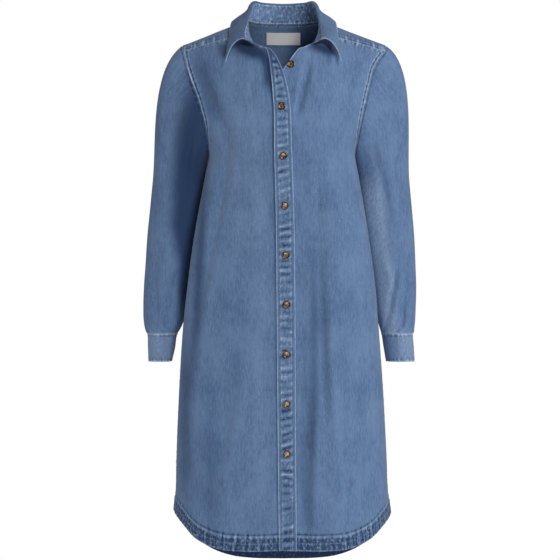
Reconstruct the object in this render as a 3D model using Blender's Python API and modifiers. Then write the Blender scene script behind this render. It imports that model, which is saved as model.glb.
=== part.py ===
"""A denim shirt dress in its worn form: hollow, with every cut piece a wall of cloth.

Frame: +Z up, the front faces -Y, the wearer's right is -X. The origin lies between the two
high points of the shoulders, where the wearer carries the dress. Tables are in millimetres and
the objects in metres. In the tables "right" and "left" are the wearer's, as distances from the
middle, so both are positive; "front" and "back" are distances before and behind the origin.
"""

import math

import bmesh
import bpy
import numpy as np
from mathutils import Vector

MM = 0.001

# Cloth walls and the clearance at seams
CLOTH = 1.4
FOLDED_CLOTH = 2.0
SEAM_GAP = 0.3
ARM_SEAM_GAP = 0.7
OUTER_INSET, INNER_INSET, UNDERARM_INSET = 0.15, 1.0, 3.4
LABEL_TAPE = 1.0
LABEL_GAP = 0.5
LABEL_WIDTH = 67.0
LABEL_TOP, LABEL_BOTTOM = -2.0, -25.0

# Closure
BAND_WIDTH = 33.0
UNDERLAP_DROP = 1.9
HEM_DROP_MORE = 0.4
BUTTON_RADIUS = 7.4
CUFF_BUTTON_RADIUS = 6.0
BUTTON_THICKNESS = 2.6
BUTTON_STANDOFF = 0.45
SMALL_BUTTON_LIFT = 1.0
BUTTON_PITCH = 92.4
FIRST_FASTENED_HEIGHT = -162.0
FASTENED_BUTTONS = 8
LOOSE_BUTTON_ACROSS, LOOSE_BUTTON_HEIGHT = 14.0, -81.5

# Levels and heights
HEM_LEVEL = -985.0
HEM_BAND_FROM = 1.962
HEM_BAND_RISE = 0.8
ARM_RING_HEIGHT = -300.0
CUFF_SEAM_HEIGHT = -588.0
CUFF_HEM_HEIGHT = -642.0

# The cuffs' lap and the sleeve plackets, as degrees round the arm (0 outer, 90 front, 270 back)
CUFF_LAP_FROM, CUFF_LAP_TO = 298.0, 326.0
CUFF_BUTTON_TURN = 312.0
SLIT_FROM, SLIT_TO = 290.0, 317.0
SLIT_TOP_HEIGHT = -470.0

# The yoke: its crown over the shoulder, and where round it its back corners lie
YOKE_CROWN = 8.0
YOKE_CORNER = 0.5
CORNER_STEPS = (-0.16, -0.08, 0.0, 0.08, 0.16)

# The collar fall: the radius that it turns over the stand with, and how far it runs straight
TURN_RADIUS = 3.85
TURN_SHARE = 0.4
STRAIGHT_BACK, STRAIGHT_FRONT = 10.0, 13.0
FALL_GAP = 0.9

# How square the rows are: 2 is an ellipse
FRONT_TOP_POWER = 1.6
HEM_POWER = 2.4

# How finely the walls are divided
BAND_SHARES = (0.0, 0.5, 1.0)
FRONT_COLUMNS = 11
BACK_COLUMNS = 11
FRONT_EXTRA_LEVELS = (0.075, 0.225, 0.36, 0.45, 0.51, 0.58, 0.67, 0.97)
BACK_EXTRA_LEVELS = (0.96,)
NECK_STEPS = (0.82, 0.86, 0.895, 0.93, 0.965, 1.0)
SKIRT_ROWS = 15
YOKE_COLUMNS = 33
YOKE_LOWER_DOWNS = (0.55, 0.78, 1.0)
ARM_COLUMNS, ARM_ROWS = 24, 9
CAP_STAGES = (0.0, 0.12, 0.28, 0.46, 0.64, 0.82, 1.0)
CUFF_COLUMNS = 27
FALL_STEPS = (0.0, 0.13, 0.27, 0.4, 0.57, 0.77, 1.0)
BUTTON_STEPS = 12

RIGHT = -1
LEFT = 1
QUARTER = math.pi / 2
NORMAL_STEP = 0.004
PLACE = ("across", "back", "height")
COLLECTION = "shirt_dress"


def table(columns, rows):
    """A table as one array for each column, with the rows in rising order of the first."""
    ordered = sorted(rows)
    return {name: np.array([row[i] for row in ordered], float) for i, name in enumerate(columns)}


def mirrored(source):
    """The table of one side carried over the middle: its first column and what lies across
    change sign there."""
    both = {}
    for place, (name, values) in enumerate(source.items()):
        sign = -1 if place == 0 or name.endswith("across") else 1
        both[name] = np.concatenate((sign * values[:0:-1], values))
    return both


# Half widths of the body and how far back the side seam lies, from the underarm to the hem
SIDES = table(
    ("height", "right", "left", "seam"),
    (
        (-257, 145, 138, -2),
        (-300, 152, 145, -20),
        (-350, 161, 153.5, -32),
        (-430, 174, 166, -36),
        (-500, 183, 175, -34),
        (-560, 190, 180, -28),
        (-620, 195, 185, -18),
        (-720, 201, 192, -8),
        (-830, 205.5, 198, -2),
        (-890, 207, 200.5, 0),
        (-925, 210, 205, 0),
        (-1040, 213, 208, 0),
    ),
)

# How far the cloth stands before and behind the origin, at the middle
DEPTHS = table(
    ("height", "front", "back"),
    (
        (12.5, 60, 62),
        (-43, 86, 90),
        (-98, 101, 105),
        (-140, 111, 110),
        (-180, 118, 112),
        (-235, 123, 111),
        (-330, 120, 105),
        (-430, 117, 101),
        (-540, 121, 106),
        (-620, 125, 112),
        (-720, 129, 118),
        (-850, 133, 124),
        (-990, 136, 129),
        (-1040, 137, 131),
    ),
)

# The closure's middle leans a little to the wearer's left on its way down
CLOSURE = table(("height", "across"), ((0, -3), (-160, -2), (-350, 3), (-820, 6.5), (-1000, 8)))

# The neck seam, the collar's roll, the fall's guide line and its outer edge, from the middle of
# the back (around 0) past the high shoulder point (0.55) to the front end (1)
COLLAR_LINES = mirrored(
    table(
        (
            "around",
            "seam_across", "seam_back", "seam_height",
            "roll_across", "roll_back", "roll_height",
            "guide_across", "guide_back", "guide_height",
            "edge_across", "edge_back", "edge_height",
        ),
        (
            (0.00, 0, 62, 12.5, 0, 66, 49, 0, 76, 32, 0, 82, 2),
            (0.20, 38, 53, 12.5, 39, 57, 50, 46, 66, 33, 54, 74, 2),
            (0.40, 62, 30, 13, 56, 34, 49.5, 71, 41, 34, 86, 46, 8),
            (0.55, 69, 6, 12, 63, 9, 37.5, 77, 9, 31, 97, 8, 13),
            (0.70, 69, -20, 1, 67.5, -18, 17, 88, -25, 16, 102, -28, -2),
            (0.78, 67, -42, -14, 70, -34, 3, 95, -46, 2, 104, -50, -23),
            (0.86, 62.5, -60, -29, 73, -54, -11, 101, -69, -16, 106.5, -71, -42),
            (0.93, 54, -76, -43, 74, -70, -24, 103, -84, -31, 108, -84, -60),
            (1.00, 40, -86, -48, 72, -82, -34, 103, -96, -45, 109, -95, -75.5),
        ),
    )
)
YOKE_SEAM_AROUND = 0.78

# The armhole, once round from the tip of the shoulder over the front to the underarm (8) and
# up the back
ARMHOLE = table(
    ("turn", "right", "left", "back", "height"),
    (
        (-1, 191, 192, 27, -54),
        (0, 194, 196, 2, -36),
        (1, 190, 192, -30, -49),
        (2, 182, 172, -43, -80),
        (3, 171, 162, -54, -115),
        (4, 158, 153, -61.5, -152),
        (5, 148, 145, -63, -190),
        (6, 143.5, 139, -52, -224),
        (7, 142.5, 136, -29, -247),
        (8, 145, 138, -2, -257),
        (9, 141.5, 134.5, 28, -247),
        (10, 143, 137, 54, -215),
        (11, 151, 146, 68, -172),
        (12, 166, 162, 70, -130),
        (13, 181, 179, 55, -88),
        (14, 191, 192, 27, -54),
        (15, 194, 196, 2, -36),
        (16, 190, 192, -30, -49),
        (17, 182, 172, -43, -80),
    ),
)
UNDERARM_TURN = 8.0
UNDERARM_BACK = -2.0
BACK_SEAM_TURN = 13.0
TURNS = 15.0

# Front rows from the yoke seam (level 0) to the underarm (level 1): where the front edge is on
# each side, and which turn of the armhole the row ends on. The row past 1 steadies the slope.
FRONT_ROWS = table(
    (
        "level",
        "right_across", "right_back", "right_height",
        "left_across", "left_back", "left_height",
        "turn",
    ),
    (
        (0.00, -67, -42, -14, 67, -42, -14, 1.0),
        (0.15, -62.5, -60, -29, 62.5, -60, -29, 1.45),
        (0.30, -54, -76, -43, 54, -76, -43, 1.95),
        (0.42, -40, -86, -48, 40, -86, -48, 2.35),
        (0.48, -28, -91, -51.5, 28, -90, -52, 2.6),
        (0.54, -16, -97, -63, 19, -94.5, -63, 2.9),
        (0.62, -3, -103, -89, 0, -99.5, -90, 3.4),
        (0.72, 5, -108, -115, -11, -105.3, -115, 4.1),
        (0.80, 10.5, -112, -142, -15, -109.8, -142, 4.9),
        (0.88, 13.5, -116, -172, -18, -114, -172, 5.8),
        (0.94, 14.5, -120.5, -206, -18.5, -118.6, -206, 6.8),
        (1.00, 15.5, -123, -240, -18, -121.1, -240, 8.0),
        (1.06, 16, -123, -270, -17.5, -121.1, -270, 8.0),
    ),
)
STAND_END_LEVEL = 0.42
PLACKET_TOP_LEVEL = 0.45

# How wide the buttonhole band shows: it narrows where the edge rolls back at the neck opening
BANDS = table(
    ("level", "width"),
    ((0, 12), (0.3, 7), (0.42, 4), (0.48, 5), (0.54, 12.5), (0.62, 22), (0.72, 27), (0.8, 30.5),
     (0.88, 31.5), (1, 33), (2, 33)),
)

# Back rows from the yoke seam to the underarm
BACK_ROWS = table(
    ("level", "back", "height", "turn"),
    (
        (0.00, 104, -91, 13.0),
        (0.20, 108, -118, 12.3),
        (0.40, 110.5, -148, 11.5),
        (0.60, 112, -176, 10.7),
        (0.80, 112, -206, 9.8),
        (0.92, 111.5, -226, 8.9),
        (1.00, 111, -240, 8.0),
        (1.08, 110, -262, 8.0),
    ),
)

# Height of the shirt-tail hems by distance from the middle
FRONT_HEM = table(
    ("across", "height"),
    ((0, -988), (80, -990), (120, -987), (149, -978), (170, -966), (190, -947), (213, -925)),
)
BACK_HEM = table(
    ("across", "height"),
    ((0, -1038), (66, -1036), (95, -1032), (116, -1026), (142, -1014), (160, -1001),
     (176, -983), (195, -952), (213, -925)),
)

# The arm below the cap: how far its outer and inner sides are from the middle
ARM = table(
    ("height", "right_outer", "right_inner", "left_outer", "left_inner", "back", "half_depth"),
    (
        (-300, 253, 148, 244, 141, 30, 58),
        (-350, 258, 153, 248.5, 146, 31, 56),
        (-404, 263, 160, 252.5, 153, 31, 54),
        (-455, 266, 169, 254.5, 162, 30, 52),
        (-500, 269, 179, 256, 171, 27, 50),
        (-540, 270, 187, 255, 177, 23, 49),
        (-565, 269, 192.5, 253.5, 182, 20, 49),
        (-578, 266.5, 198, 252, 185.5, 18, 48),
        (-588, 263.5, 204, 250.5, 188.5, 16, 46),
        (-615, 262, 209, 252, 193, 15, 44.5),
        (-642, 261, 215, 253.5, 197.5, 14, 43),
    ),
)

# The largest soft folds of the body, as lines across and down each face. A negative rise is a
# trough.
FOLD_COLUMNS = ("from_across", "from_height", "to_across", "to_height", "width", "rise")
FRONT_FOLDS = (
    (-100, -255, -156, -531, 15, -6),
    (-158, -100, -115, -206, 16, -5),
    (44, -85, 28, -165, 9, -4),
    (136, -72, 124, -128, 11, -3),
    (68, -470, 76, -720, 14, -5),
    (46, -740, 42, -940, 13, -4),
    (-88, -630, -133, -900, 17, -6),
    (-42, -285, -22, -385, 8, -2),
    (-85, -170, -85, -260, 45, 5),
    (88, -170, 95, -350, 45, 5),
)
BACK_FOLDS = (
    (-78, -150, -112, -520, 20, -6),
    (84, -180, 104, -480, 18, -5),
    (-30, -420, -46, -900, 20, -5),
    (60, -520, 96, -960, 20, -6),
    (-120, -640, -150, -980, 16, -4),
    (10, -130, 4, -330, 26, -3),
)
# Folds of the arms: turn round the arm in degrees (0 outer, 90 front, 270 back) and height
RIGHT_ARM_FOLDS = (
    (48, -110, 62, -330, 16, -4),
    (78, -330, 50, -520, 15, -4),
    (255, -330, 285, -520, 18, -4),
)
LEFT_ARM_FOLDS = (
    (52, -120, 70, -300, 14, -3),
    (40, -440, 88, -575, 14, -5),
    (290, -300, 262, -500, 18, -4),
)


def smooth(knots, values, at):
    """A smooth curve through values at rising knots, and straight on past either end."""
    slopes = np.gradient(values, knots)
    at = np.asarray(at, float)
    start = np.clip(np.searchsorted(knots, at) - 1, 0, len(knots) - 2)
    span = knots[start + 1] - knots[start]
    whole = (at - knots[start]) / span
    t = np.clip(whole, 0, 1)
    past = (whole - t) * span
    rise = values[start + 1] - values[start]
    first, last = slopes[start] * span, slopes[start + 1] * span
    bend = ((first + last - 2 * rise) * t + 3 * rise - 2 * first - last) * t + first
    end_slope = np.where(past < 0, slopes[start], slopes[start + 1])
    return values[start] + bend * t + past * end_slope


def read(source, column, at):
    """A table's column at any value of its first column."""
    knots = next(iter(source.values()))
    return smooth(knots, source[column], at)


def ease(low, high, at):
    """0 below low, 1 above high, and a smooth rise between."""
    t = np.clip((at - low) / (high - low), 0, 1)
    return t * t * (3 - 2 * t)


def stack(x, y, z):
    return np.stack(np.broadcast_arrays(x, y, z), axis=-1)


def fold_rise(folds, first, second):
    """The height of all folds at a place, each a soft ridge or trough along its line."""
    total = np.zeros(np.broadcast(first, second).shape)
    for row in folds:
        fold = dict(zip(FOLD_COLUMNS, row))
        run = np.array((fold["to_across"] - fold["from_across"], fold["to_height"] - fold["from_height"]))
        length = np.hypot(*run)
        from_first, from_second = first - fold["from_across"], second - fold["from_height"]
        along = (from_first * run[0] + from_second * run[1]) / length
        aside = (from_first * run[1] - from_second * run[0]) / length
        taper = 0.3 * length
        ends = ease(-taper, taper, along) * ease(-taper, taper, length - along)
        total = total + fold["rise"] * ends * np.exp(-((aside / fold["width"]) ** 2))
    return total


def side_name(side):
    return "right" if side == RIGHT else "left"


def armhole(side, turn):
    """A point of the armhole seam. Turn 8 is the underarm."""
    across = side * read(ARMHOLE, side_name(side), turn)
    return stack(across, read(ARMHOLE, "back", turn), read(ARMHOLE, "height", turn))


def rounded_row(inner, outer, angle, power, flat=0.0, turning_back=None):
    """A row from the middle (angle 0) to the side (a quarter turn): after a flat strip, a part
    of the superellipse that would turn straight back at turning_back."""
    turning_back = outer[..., 1] if turning_back is None else turning_back
    depth = inner[..., 1] - turning_back
    reach = np.sin(angle) ** (2 / power)
    share = flat / np.abs(outer[..., 0] - inner[..., 0])
    bent = np.clip((reach - share) / (1 - share), 0, 1)
    end_fade = np.clip((outer[..., 1] - turning_back) / depth, 0, 1)
    end_reach = (1 - end_fade**power) ** (1 / power)
    fade = np.clip(1 - (bent * end_reach) ** power, 0, 1) ** (1 / power)
    across = inner[..., 0] + (outer[..., 0] - inner[..., 0]) * reach
    height = inner[..., 2] + (outer[..., 2] - inner[..., 2]) * bent
    return stack(across, turning_back + depth * fade, height)


def side_seam(side, height):
    return stack(side * read(SIDES, side_name(side), height), read(SIDES, "seam", height), height)


def closure(height):
    return read(CLOSURE, "across", height)


def skirt_heights(top, hem, across_at_hem, down):
    """Heights on the way from the underarm row (down 0) to the hem (down 1)."""
    return top + (read(hem, "height", np.abs(across_at_hem)) - top) * down


def skirt_power(height):
    """How square the body's section is: rounder at the chest than at the hem."""
    return 2.1 + 0.3 * ease(-300, -700, height)


def one_body(rows, skirt, level, angle):
    """The rows above the underarm, carried on below it by the skirt with no step between."""
    underarm = rows(np.ones(np.shape(angle)), angle)
    upper = rows(np.clip(level, 0, 1), angle)
    lower = skirt(np.clip(level - 1, 0, 1), angle, underarm)
    step = underarm - skirt(np.zeros(np.shape(angle)), angle, underarm)
    carried = lower + step * (1 - ease(1.0, 1.2, level))[..., None]
    return np.where((level <= 1)[..., None], upper, carried)


def front_plain(side, level, angle):
    """A front without folds. Level 0 is the yoke seam, 1 the underarm and 2 the hem."""
    name = side_name(side)
    edge = -side * BAND_WIDTH / 2
    drop = UNDERLAP_DROP if side == LEFT else 0.0

    def rows(at, turn):
        inner = stack(*(read(FRONT_ROWS, f"{name}_{part}", at) for part in PLACE))
        outer = armhole(side, read(FRONT_ROWS, "turn", at))
        power = FRONT_TOP_POWER + 0.5 * ease(0, 0.6, at)
        flat = BAND_WIDTH * ease(0.42, 0.8, at)
        return rounded_row(inner, outer, turn, power, flat, UNDERARM_BACK)

    def skirt(down, turn, underarm):
        hem_edge = closure(HEM_LEVEL) + edge
        hem_side = side * read(SIDES, name, HEM_LEVEL)
        across_at_hem = hem_edge + (hem_side - hem_edge) * np.sin(turn) ** (2 / HEM_POWER)
        height = skirt_heights(underarm[..., 2], FRONT_HEM, across_at_hem, down)
        deeper = drop * (1 + HEM_DROP_MORE * ease(0.88, 0.94, down))
        middle = stack(closure(height) + edge, deeper - read(DEPTHS, "front", height), height)
        return rounded_row(middle, side_seam(side, height), turn, skirt_power(height), BAND_WIDTH)

    return one_body(rows, skirt, level, angle)


def back_plain(side, level, angle):
    """Half of the back without folds, from its middle (angle 0) to one side."""
    name = side_name(side)

    def rows(at, turn):
        inner = stack(0.0, read(BACK_ROWS, "back", at), read(BACK_ROWS, "height", at))
        outer = armhole(side, read(BACK_ROWS, "turn", at))
        power = 1.9 + 0.2 * ease(0, 0.6, at)
        return rounded_row(inner, outer, turn, power, turning_back=UNDERARM_BACK)

    def skirt(down, turn, underarm):
        across_at_hem = read(SIDES, name, HEM_LEVEL) * np.sin(turn) ** (2 / HEM_POWER)
        height = skirt_heights(underarm[..., 2], BACK_HEM, across_at_hem, down)
        middle = stack(0.0, read(DEPTHS, "back", height), height)
        return rounded_row(middle, side_seam(side, height), turn, skirt_power(height))

    return one_body(rows, skirt, level, angle)


def outward(surface, first, second, sign):
    """Unit normals of a surface of two numbers."""
    along = surface(first + NORMAL_STEP, second) - surface(first - NORMAL_STEP, second)
    across = surface(first, second + NORMAL_STEP) - surface(first, second - NORMAL_STEP)
    normal = np.cross(along, across)
    return sign * normal / np.linalg.norm(normal, axis=-1, keepdims=True)


def arrays(*values):
    return np.broadcast_arrays(*(np.asarray(value, float) for value in values))


def body_face(plain, folds, sign, level, angle, lift):
    """A panel's face: its plain form, then its folds and a lift, both along the plain normals."""
    level, angle, lift = arrays(level, angle, lift)

    def surface(at, turn):
        return plain(np.clip(at, 0, 2), np.clip(turn, 0, QUARTER))

    points = surface(level, angle)
    steady_level = np.clip(level, NORMAL_STEP, 2 - NORMAL_STEP)
    steady_angle = np.clip(angle, 3 * NORMAL_STEP, QUARTER - 3 * NORMAL_STEP)
    normal = outward(surface, steady_level, steady_angle, sign)
    away_from_seams = ease(0, 0.2, level) * ease(0, 0.18, QUARTER - angle)
    rise = lift + away_from_seams * fold_rise(folds, points[..., 0], points[..., 2])
    return points + normal * rise[..., None]


def front(side, level, angle, lift=0.0):
    return body_face(lambda at, turn: front_plain(side, at, turn), FRONT_FOLDS, side, level, angle, lift)


def back(side, level, angle, lift=0.0):
    return body_face(lambda at, turn: back_plain(side, at, turn), BACK_FOLDS, -side, level, angle, lift)


def band_width(level):
    return read(BANDS, "width", level)


def hem_rise(level):
    """The folded hem stands a little proud of the cloth above it."""
    return np.where(np.asarray(level) > HEM_BAND_FROM, HEM_BAND_RISE, 0.0)


def angles_from_edge(side, level, distances):
    """The row angles at some distances from a front's edge."""
    angles = np.linspace(0, QUARTER, 300)
    points = front_plain(side, np.full(angles.shape, level), angles)
    return np.interp(distances, np.abs(points[:, 0] - points[0, 0]), angles)


# Yoke


def yoke_outer(around):
    """The yoke's outer edge: the back seam up to a corner, and then the armhole."""
    reach = np.abs(around)
    back_angle = np.clip(reach / YOKE_CORNER, 0, 1) * QUARTER
    turn = BACK_SEAM_TURN + np.clip((reach - YOKE_CORNER) / (1 - YOKE_CORNER), 0, 1) * 3
    edges = {}
    for side in (RIGHT, LEFT):
        seam = back_plain(side, 0.0 * reach, back_angle)
        edges[side] = np.where((reach < YOKE_CORNER)[..., None], seam, armhole(side, turn))
    return np.where((around < 0)[..., None], edges[RIGHT], edges[LEFT])


def yoke_columns(around, down):
    """Lines from the neck to the yoke's outer edge, before they meet the front seams. Away from
    the edge they aim at a softened corner."""
    reach = np.abs(around)
    neck = collar_line("seam", around * YOKE_SEAM_AROUND)
    outer = yoke_outer(around)
    softened = sum(yoke_outer(np.clip(around + step, -1, 1)) for step in CORNER_STEPS) / len(CORNER_STEPS)
    softened = outer + (softened - outer) * ease(0.95, 0.8, reach)[..., None]
    behind = 1 - ease(0.5, 0.9, reach)
    crown_way = stack(0.0, 0.75 * behind, 1 - 0.35 * behind)
    crown = YOKE_CROWN * 4 * down * (1 - down)
    line = neck + (softened - neck) * down[..., None] + (outer - softened) * (down**4)[..., None]
    return line + crown_way * crown[..., None]


def yoke_plain(around, down):
    """The yoke: around is -1 at the right front seam, 0 at the middle of the back and 1 at the
    left front seam, and down is 0 at the neck and 1 at the outer edge."""
    around, down = arrays(np.clip(around, -1, 1), np.clip(down, 0, 1))
    angle = np.arcsin(down ** (FRONT_TOP_POWER / 2))
    seams = {side: front_plain(side, 0.0 * down, angle) for side in (RIGHT, LEFT)}
    seam = np.where((around < 0)[..., None], seams[RIGHT], seams[LEFT])
    end = np.where(around < 0, -1.0, 1.0)
    shift = (seam - yoke_columns(end, down)) * ease(0.75, 1, np.abs(around))[..., None]
    return yoke_columns(around, down) + shift


def yoke(around, down, lift=0.0):
    around, down, lift = arrays(around, down, lift)
    steady_around = np.clip(around, NORMAL_STEP - 1, 1 - NORMAL_STEP)
    steady_down = np.clip(down, 4 * NORMAL_STEP, 1 - 4 * NORMAL_STEP)
    normal = outward(yoke_plain, steady_around, steady_down, 1)
    return yoke_plain(around, down) + normal * lift[..., None]


# Arms


def arm_ring(side, angle, height):
    """The arm's section at a height, an ellipse: angle 0 is outer and a quarter turn is front."""
    name = side_name(side)
    outer, inner = read(ARM, f"{name}_outer", height), read(ARM, f"{name}_inner", height)
    across = (outer + inner) / 2 + (outer - inner) / 2 * np.cos(angle)
    back_place = read(ARM, "back", height) - read(ARM, "half_depth", height) * np.sin(angle)
    return stack(side * across, back_place, height)


def arm_plain(side, stage, angle):
    """The sleeve: stage 0 is the armhole, 1 the bottom of its cap and 2 the cuff seam."""
    angle = np.mod(angle, 4 * QUARTER)
    part = angle / (2 * QUARTER)
    turn = np.where(part < 1, part * UNDERARM_TURN, UNDERARM_TURN + (part - 1) * (TURNS - UNDERARM_TURN))
    start = armhole(side, turn)
    end = arm_ring(side, angle, ARM_RING_HEIGHT)
    upper = (1 + np.cos(angle)) / 2
    leave = stack(side * (0.6 + 0.25 * upper), -0.06 * np.sin(angle), 0.42 * upper - 1)
    leave /= np.linalg.norm(leave, axis=-1, keepdims=True)
    start = start + leave * ARM_SEAM_GAP
    reach = np.linalg.norm(end - start, axis=-1, keepdims=True)
    arrive = (arm_ring(side, angle, ARM_RING_HEIGHT - 10) - end) / 10
    t = np.clip(stage, 0, 1)[..., None]
    cap = (
        start * (2 * t**3 - 3 * t**2 + 1)
        + leave * reach * 0.8 * (t**3 - 2 * t**2 + t)
        + end * (3 * t**2 - 2 * t**3)
        + arrive * reach * 0.9 * (t**3 - t**2)
    )
    height = ARM_RING_HEIGHT + (CUFF_SEAM_HEIGHT - ARM_RING_HEIGHT) * np.clip(stage - 1, 0, 2)
    return np.where((stage <= 1)[..., None], cap, arm_ring(side, angle, height))


def arm(side, stage, angle, lift=0.0):
    """The sleeve's face with its folds, lifted by any distance."""
    stage, angle, lift = arrays(stage, angle, lift)
    normal = outward(lambda at, turn: arm_plain(side, at, turn), np.clip(stage, 0.01, 2), angle, -side)
    points = arm_plain(side, stage, angle)
    folds = RIGHT_ARM_FOLDS if side == RIGHT else LEFT_ARM_FOLDS
    fade = ease(0, 0.3, stage) * ease(2.0, 1.9, stage)
    rise = lift + fade * fold_rise(folds, np.degrees(np.mod(angle, 4 * QUARTER)), points[..., 2])
    return points + normal * rise[..., None]


def stage_at(height):
    return 1 + (height - ARM_RING_HEIGHT) / (CUFF_SEAM_HEIGHT - ARM_RING_HEIGHT)


def cuff(side, down, wind, lift=0.0):
    """The cuff's band, wound a little over one turn so that its ends lap."""
    down, wind, lift = arrays(down, wind, lift)
    lap = math.radians(CUFF_LAP_TO - CUFF_LAP_FROM)
    angle = math.radians(CUFF_LAP_FROM) + wind * (4 * QUARTER + lap)
    top = CUFF_SEAM_HEIGHT - SEAM_GAP / 2
    height = top + (CUFF_HEM_HEIGHT - top) * down
    winding = (FOLDED_CLOTH + 2 * SEAM_GAP) * (wind - 0.5)

    def surface(at, turn):
        return arm_ring(side, turn, at)

    normal = outward(surface, height, angle, side)
    return surface(height, angle) + normal * (lift + winding)[..., None]


# Collar


def collar_line(line, around):
    """A point of one of the collar's lines, from the right front end (-1) to the left one (1)."""
    return stack(*(read(COLLAR_LINES, f"{line}_{part}", around) for part in PLACE))


def stand_plain(around, up):
    seam, roll = collar_line("seam", around), collar_line("roll", around)
    return seam + (roll - seam) * np.asarray(up)[..., None]


def stand(around, up, lift=0.0):
    """The collar stand's outer face, from the neck seam (up 0) to the roll (up 1)."""
    around, up, lift = arrays(around, up, lift)
    normal = outward(stand_plain, np.clip(around, NORMAL_STEP - 1, 1 - NORMAL_STEP), up, -1)
    return stand_plain(around, up) + normal * lift[..., None]


def curve(points, t):
    """A Bezier curve of four points."""
    t = t[..., None]
    weights = ((1 - t) ** 3, 3 * t * (1 - t) ** 2, 3 * t**2 * (1 - t), t**3)
    return sum(weight * point for weight, point in zip(weights, points))


def fall_plain(around, over):
    """The collar fall's visible face: it springs from the stand, turns over and comes down.
    Behind it turns right over, and towards its points it only bends."""
    around, over = arrays(around, over)
    seam, roll = collar_line("seam", around), collar_line("roll", around)
    guide, edge = collar_line("guide", around), collar_line("edge", around)
    upward = (roll - seam) / np.linalg.norm(roll - seam, axis=-1, keepdims=True)
    top = np.ones(around.shape)
    outer_way = stand(around, top, 1.0) - stand(around, top)
    start = roll - outer_way * FOLDED_CLOTH + upward * FALL_GAP

    turned = np.clip(over / TURN_SHARE, 0, 1)[..., None] * 2 * QUARTER
    centre = start + outer_way * TURN_RADIUS
    rolled = centre + TURN_RADIUS * (upward * np.sin(turned) - outer_way * np.cos(turned))
    after = centre + outer_way * TURN_RADIUS
    down = np.clip((over - TURN_SHARE) / (1 - TURN_SHARE), 0, 1)
    dropped = curve((after, after - upward * STRAIGHT_BACK, guide, edge), down)
    behind = np.where((over < TURN_SHARE)[..., None], rolled, dropped)
    before = curve((start, start + upward * STRAIGHT_FRONT, guide, edge), np.clip(over, 0, 1) ** 1.3)
    share = ease(0.5, 0.9, np.abs(around))[..., None]
    return behind + (before - behind) * share


def fall(around, over, lift=0.0):
    around, over, lift = arrays(around, over, lift)
    normal = outward(fall_plain, np.clip(around, NORMAL_STEP - 1, 1 - NORMAL_STEP), over, 1)
    return fall_plain(around, over) + normal * lift[..., None]


# Making the objects


def inset(grid, amount, ring=False):
    """A grid of points with its borders drawn in."""
    grid = grid.copy()
    borders = [(grid[0], grid[1]), (grid[-1], grid[-2])]
    if not ring:
        borders += [(grid[:, 0], grid[:, 1]), (grid[:, -1], grid[:, -2])]
    for border, inside in borders:
        way = inside - border
        border += way / np.linalg.norm(way, axis=-1, keepdims=True) * amount
    return grid


def wall(name, outer, inner, material, ring=False):
    """A closed wall between two matching grids of points. A ring's last column meets its first."""
    mesh = bmesh.new()
    outer_skin, inner_skin = (
        [[mesh.verts.new(Vector(point) * MM) for point in row] for row in grid] for grid in (outer, inner)
    )
    rows, columns = len(outer_skin), len(outer_skin[0])
    across = [(c, (c + 1) % columns) for c in range(columns if ring else columns - 1)]
    for skin in (outer_skin, inner_skin):
        for r in range(rows - 1):
            for c, d in across:
                mesh.faces.new((skin[r][c], skin[r][d], skin[r + 1][d]))
                mesh.faces.new((skin[r][c], skin[r + 1][d], skin[r + 1][c]))
    for r in (0, rows - 1):
        for c, d in across:
            mesh.faces.new((outer_skin[r][c], outer_skin[r][d], inner_skin[r][d], inner_skin[r][c]))
    if not ring:
        for c in (0, columns - 1):
            for r in range(rows - 1):
                mesh.faces.new(
                    (outer_skin[r][c], outer_skin[r + 1][c], inner_skin[r + 1][c], inner_skin[r][c])
                )
    bmesh.ops.recalc_face_normals(mesh, faces=mesh.faces)
    data = bpy.data.meshes.new(name)
    mesh.to_mesh(data)
    mesh.free()
    data.shade_smooth()
    data.set_sharp_from_angle(angle=math.radians(50))
    add_object(name, data, material)


def add_object(name, data, material):
    if not data.materials:
        data.materials.append(material)
    thing = bpy.data.objects.new(name, data)
    bpy.data.collections[COLLECTION].objects.link(thing)
    return thing


def make_material(name, colour, roughness):
    material = bpy.data.materials.new(name)
    material.use_nodes = True
    shader = material.node_tree.nodes["Principled BSDF"]
    shader.inputs["Base Color"].default_value = (*colour, 1)
    shader.inputs["Roughness"].default_value = roughness
    shader.inputs["Metallic"].default_value = 0.0
    return material


def skirt_levels():
    """Levels from just below the underarm to the hem, close together where the hem band starts."""
    plain = np.linspace(1, HEM_BAND_FROM - 0.001, SKIRT_ROWS)[1:]
    return np.concatenate((plain, (HEM_BAND_FROM + 0.001, 2.0)))


def front_levels():
    """Levels of the fronts' rows, closer together along the neck and the curved armhole."""
    upper = FRONT_ROWS["level"][:-1]
    return np.sort(np.concatenate((upper, FRONT_EXTRA_LEVELS, skirt_levels())))


def make_front(side, material):
    levels = front_levels()
    rows = []
    for level in levels:
        band = angles_from_edge(side, level, band_width(level) * np.array(BAND_SHARES))
        rows.append(np.concatenate((band, np.linspace(band[-1], QUARTER, FRONT_COLUMNS)[1:])))
    angles = np.array(rows)
    levels = np.broadcast_to(levels[:, None], angles.shape)
    outer = front(side, levels, angles, hem_rise(levels))
    inner = front(side, levels, angles, -CLOTH)
    wall(f"front_{side_name(side)}", inset(outer, OUTER_INSET), inset(inner, INNER_INSET), material)


def make_placket(material):
    """The buttonhole band, on the right front's own points moved out."""
    levels = front_levels()
    levels = levels[levels >= PLACKET_TOP_LEVEL]
    shares = np.array(BAND_SHARES)
    angles = np.array([angles_from_edge(RIGHT, at, band_width(at) * shares) for at in levels])
    levels = np.broadcast_to(levels[:, None], angles.shape)
    lift = hem_rise(levels) + SEAM_GAP
    outer = front(RIGHT, levels, angles, lift + FOLDED_CLOTH)
    wall("placket", outer, front(RIGHT, levels, angles, lift), material)


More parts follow.
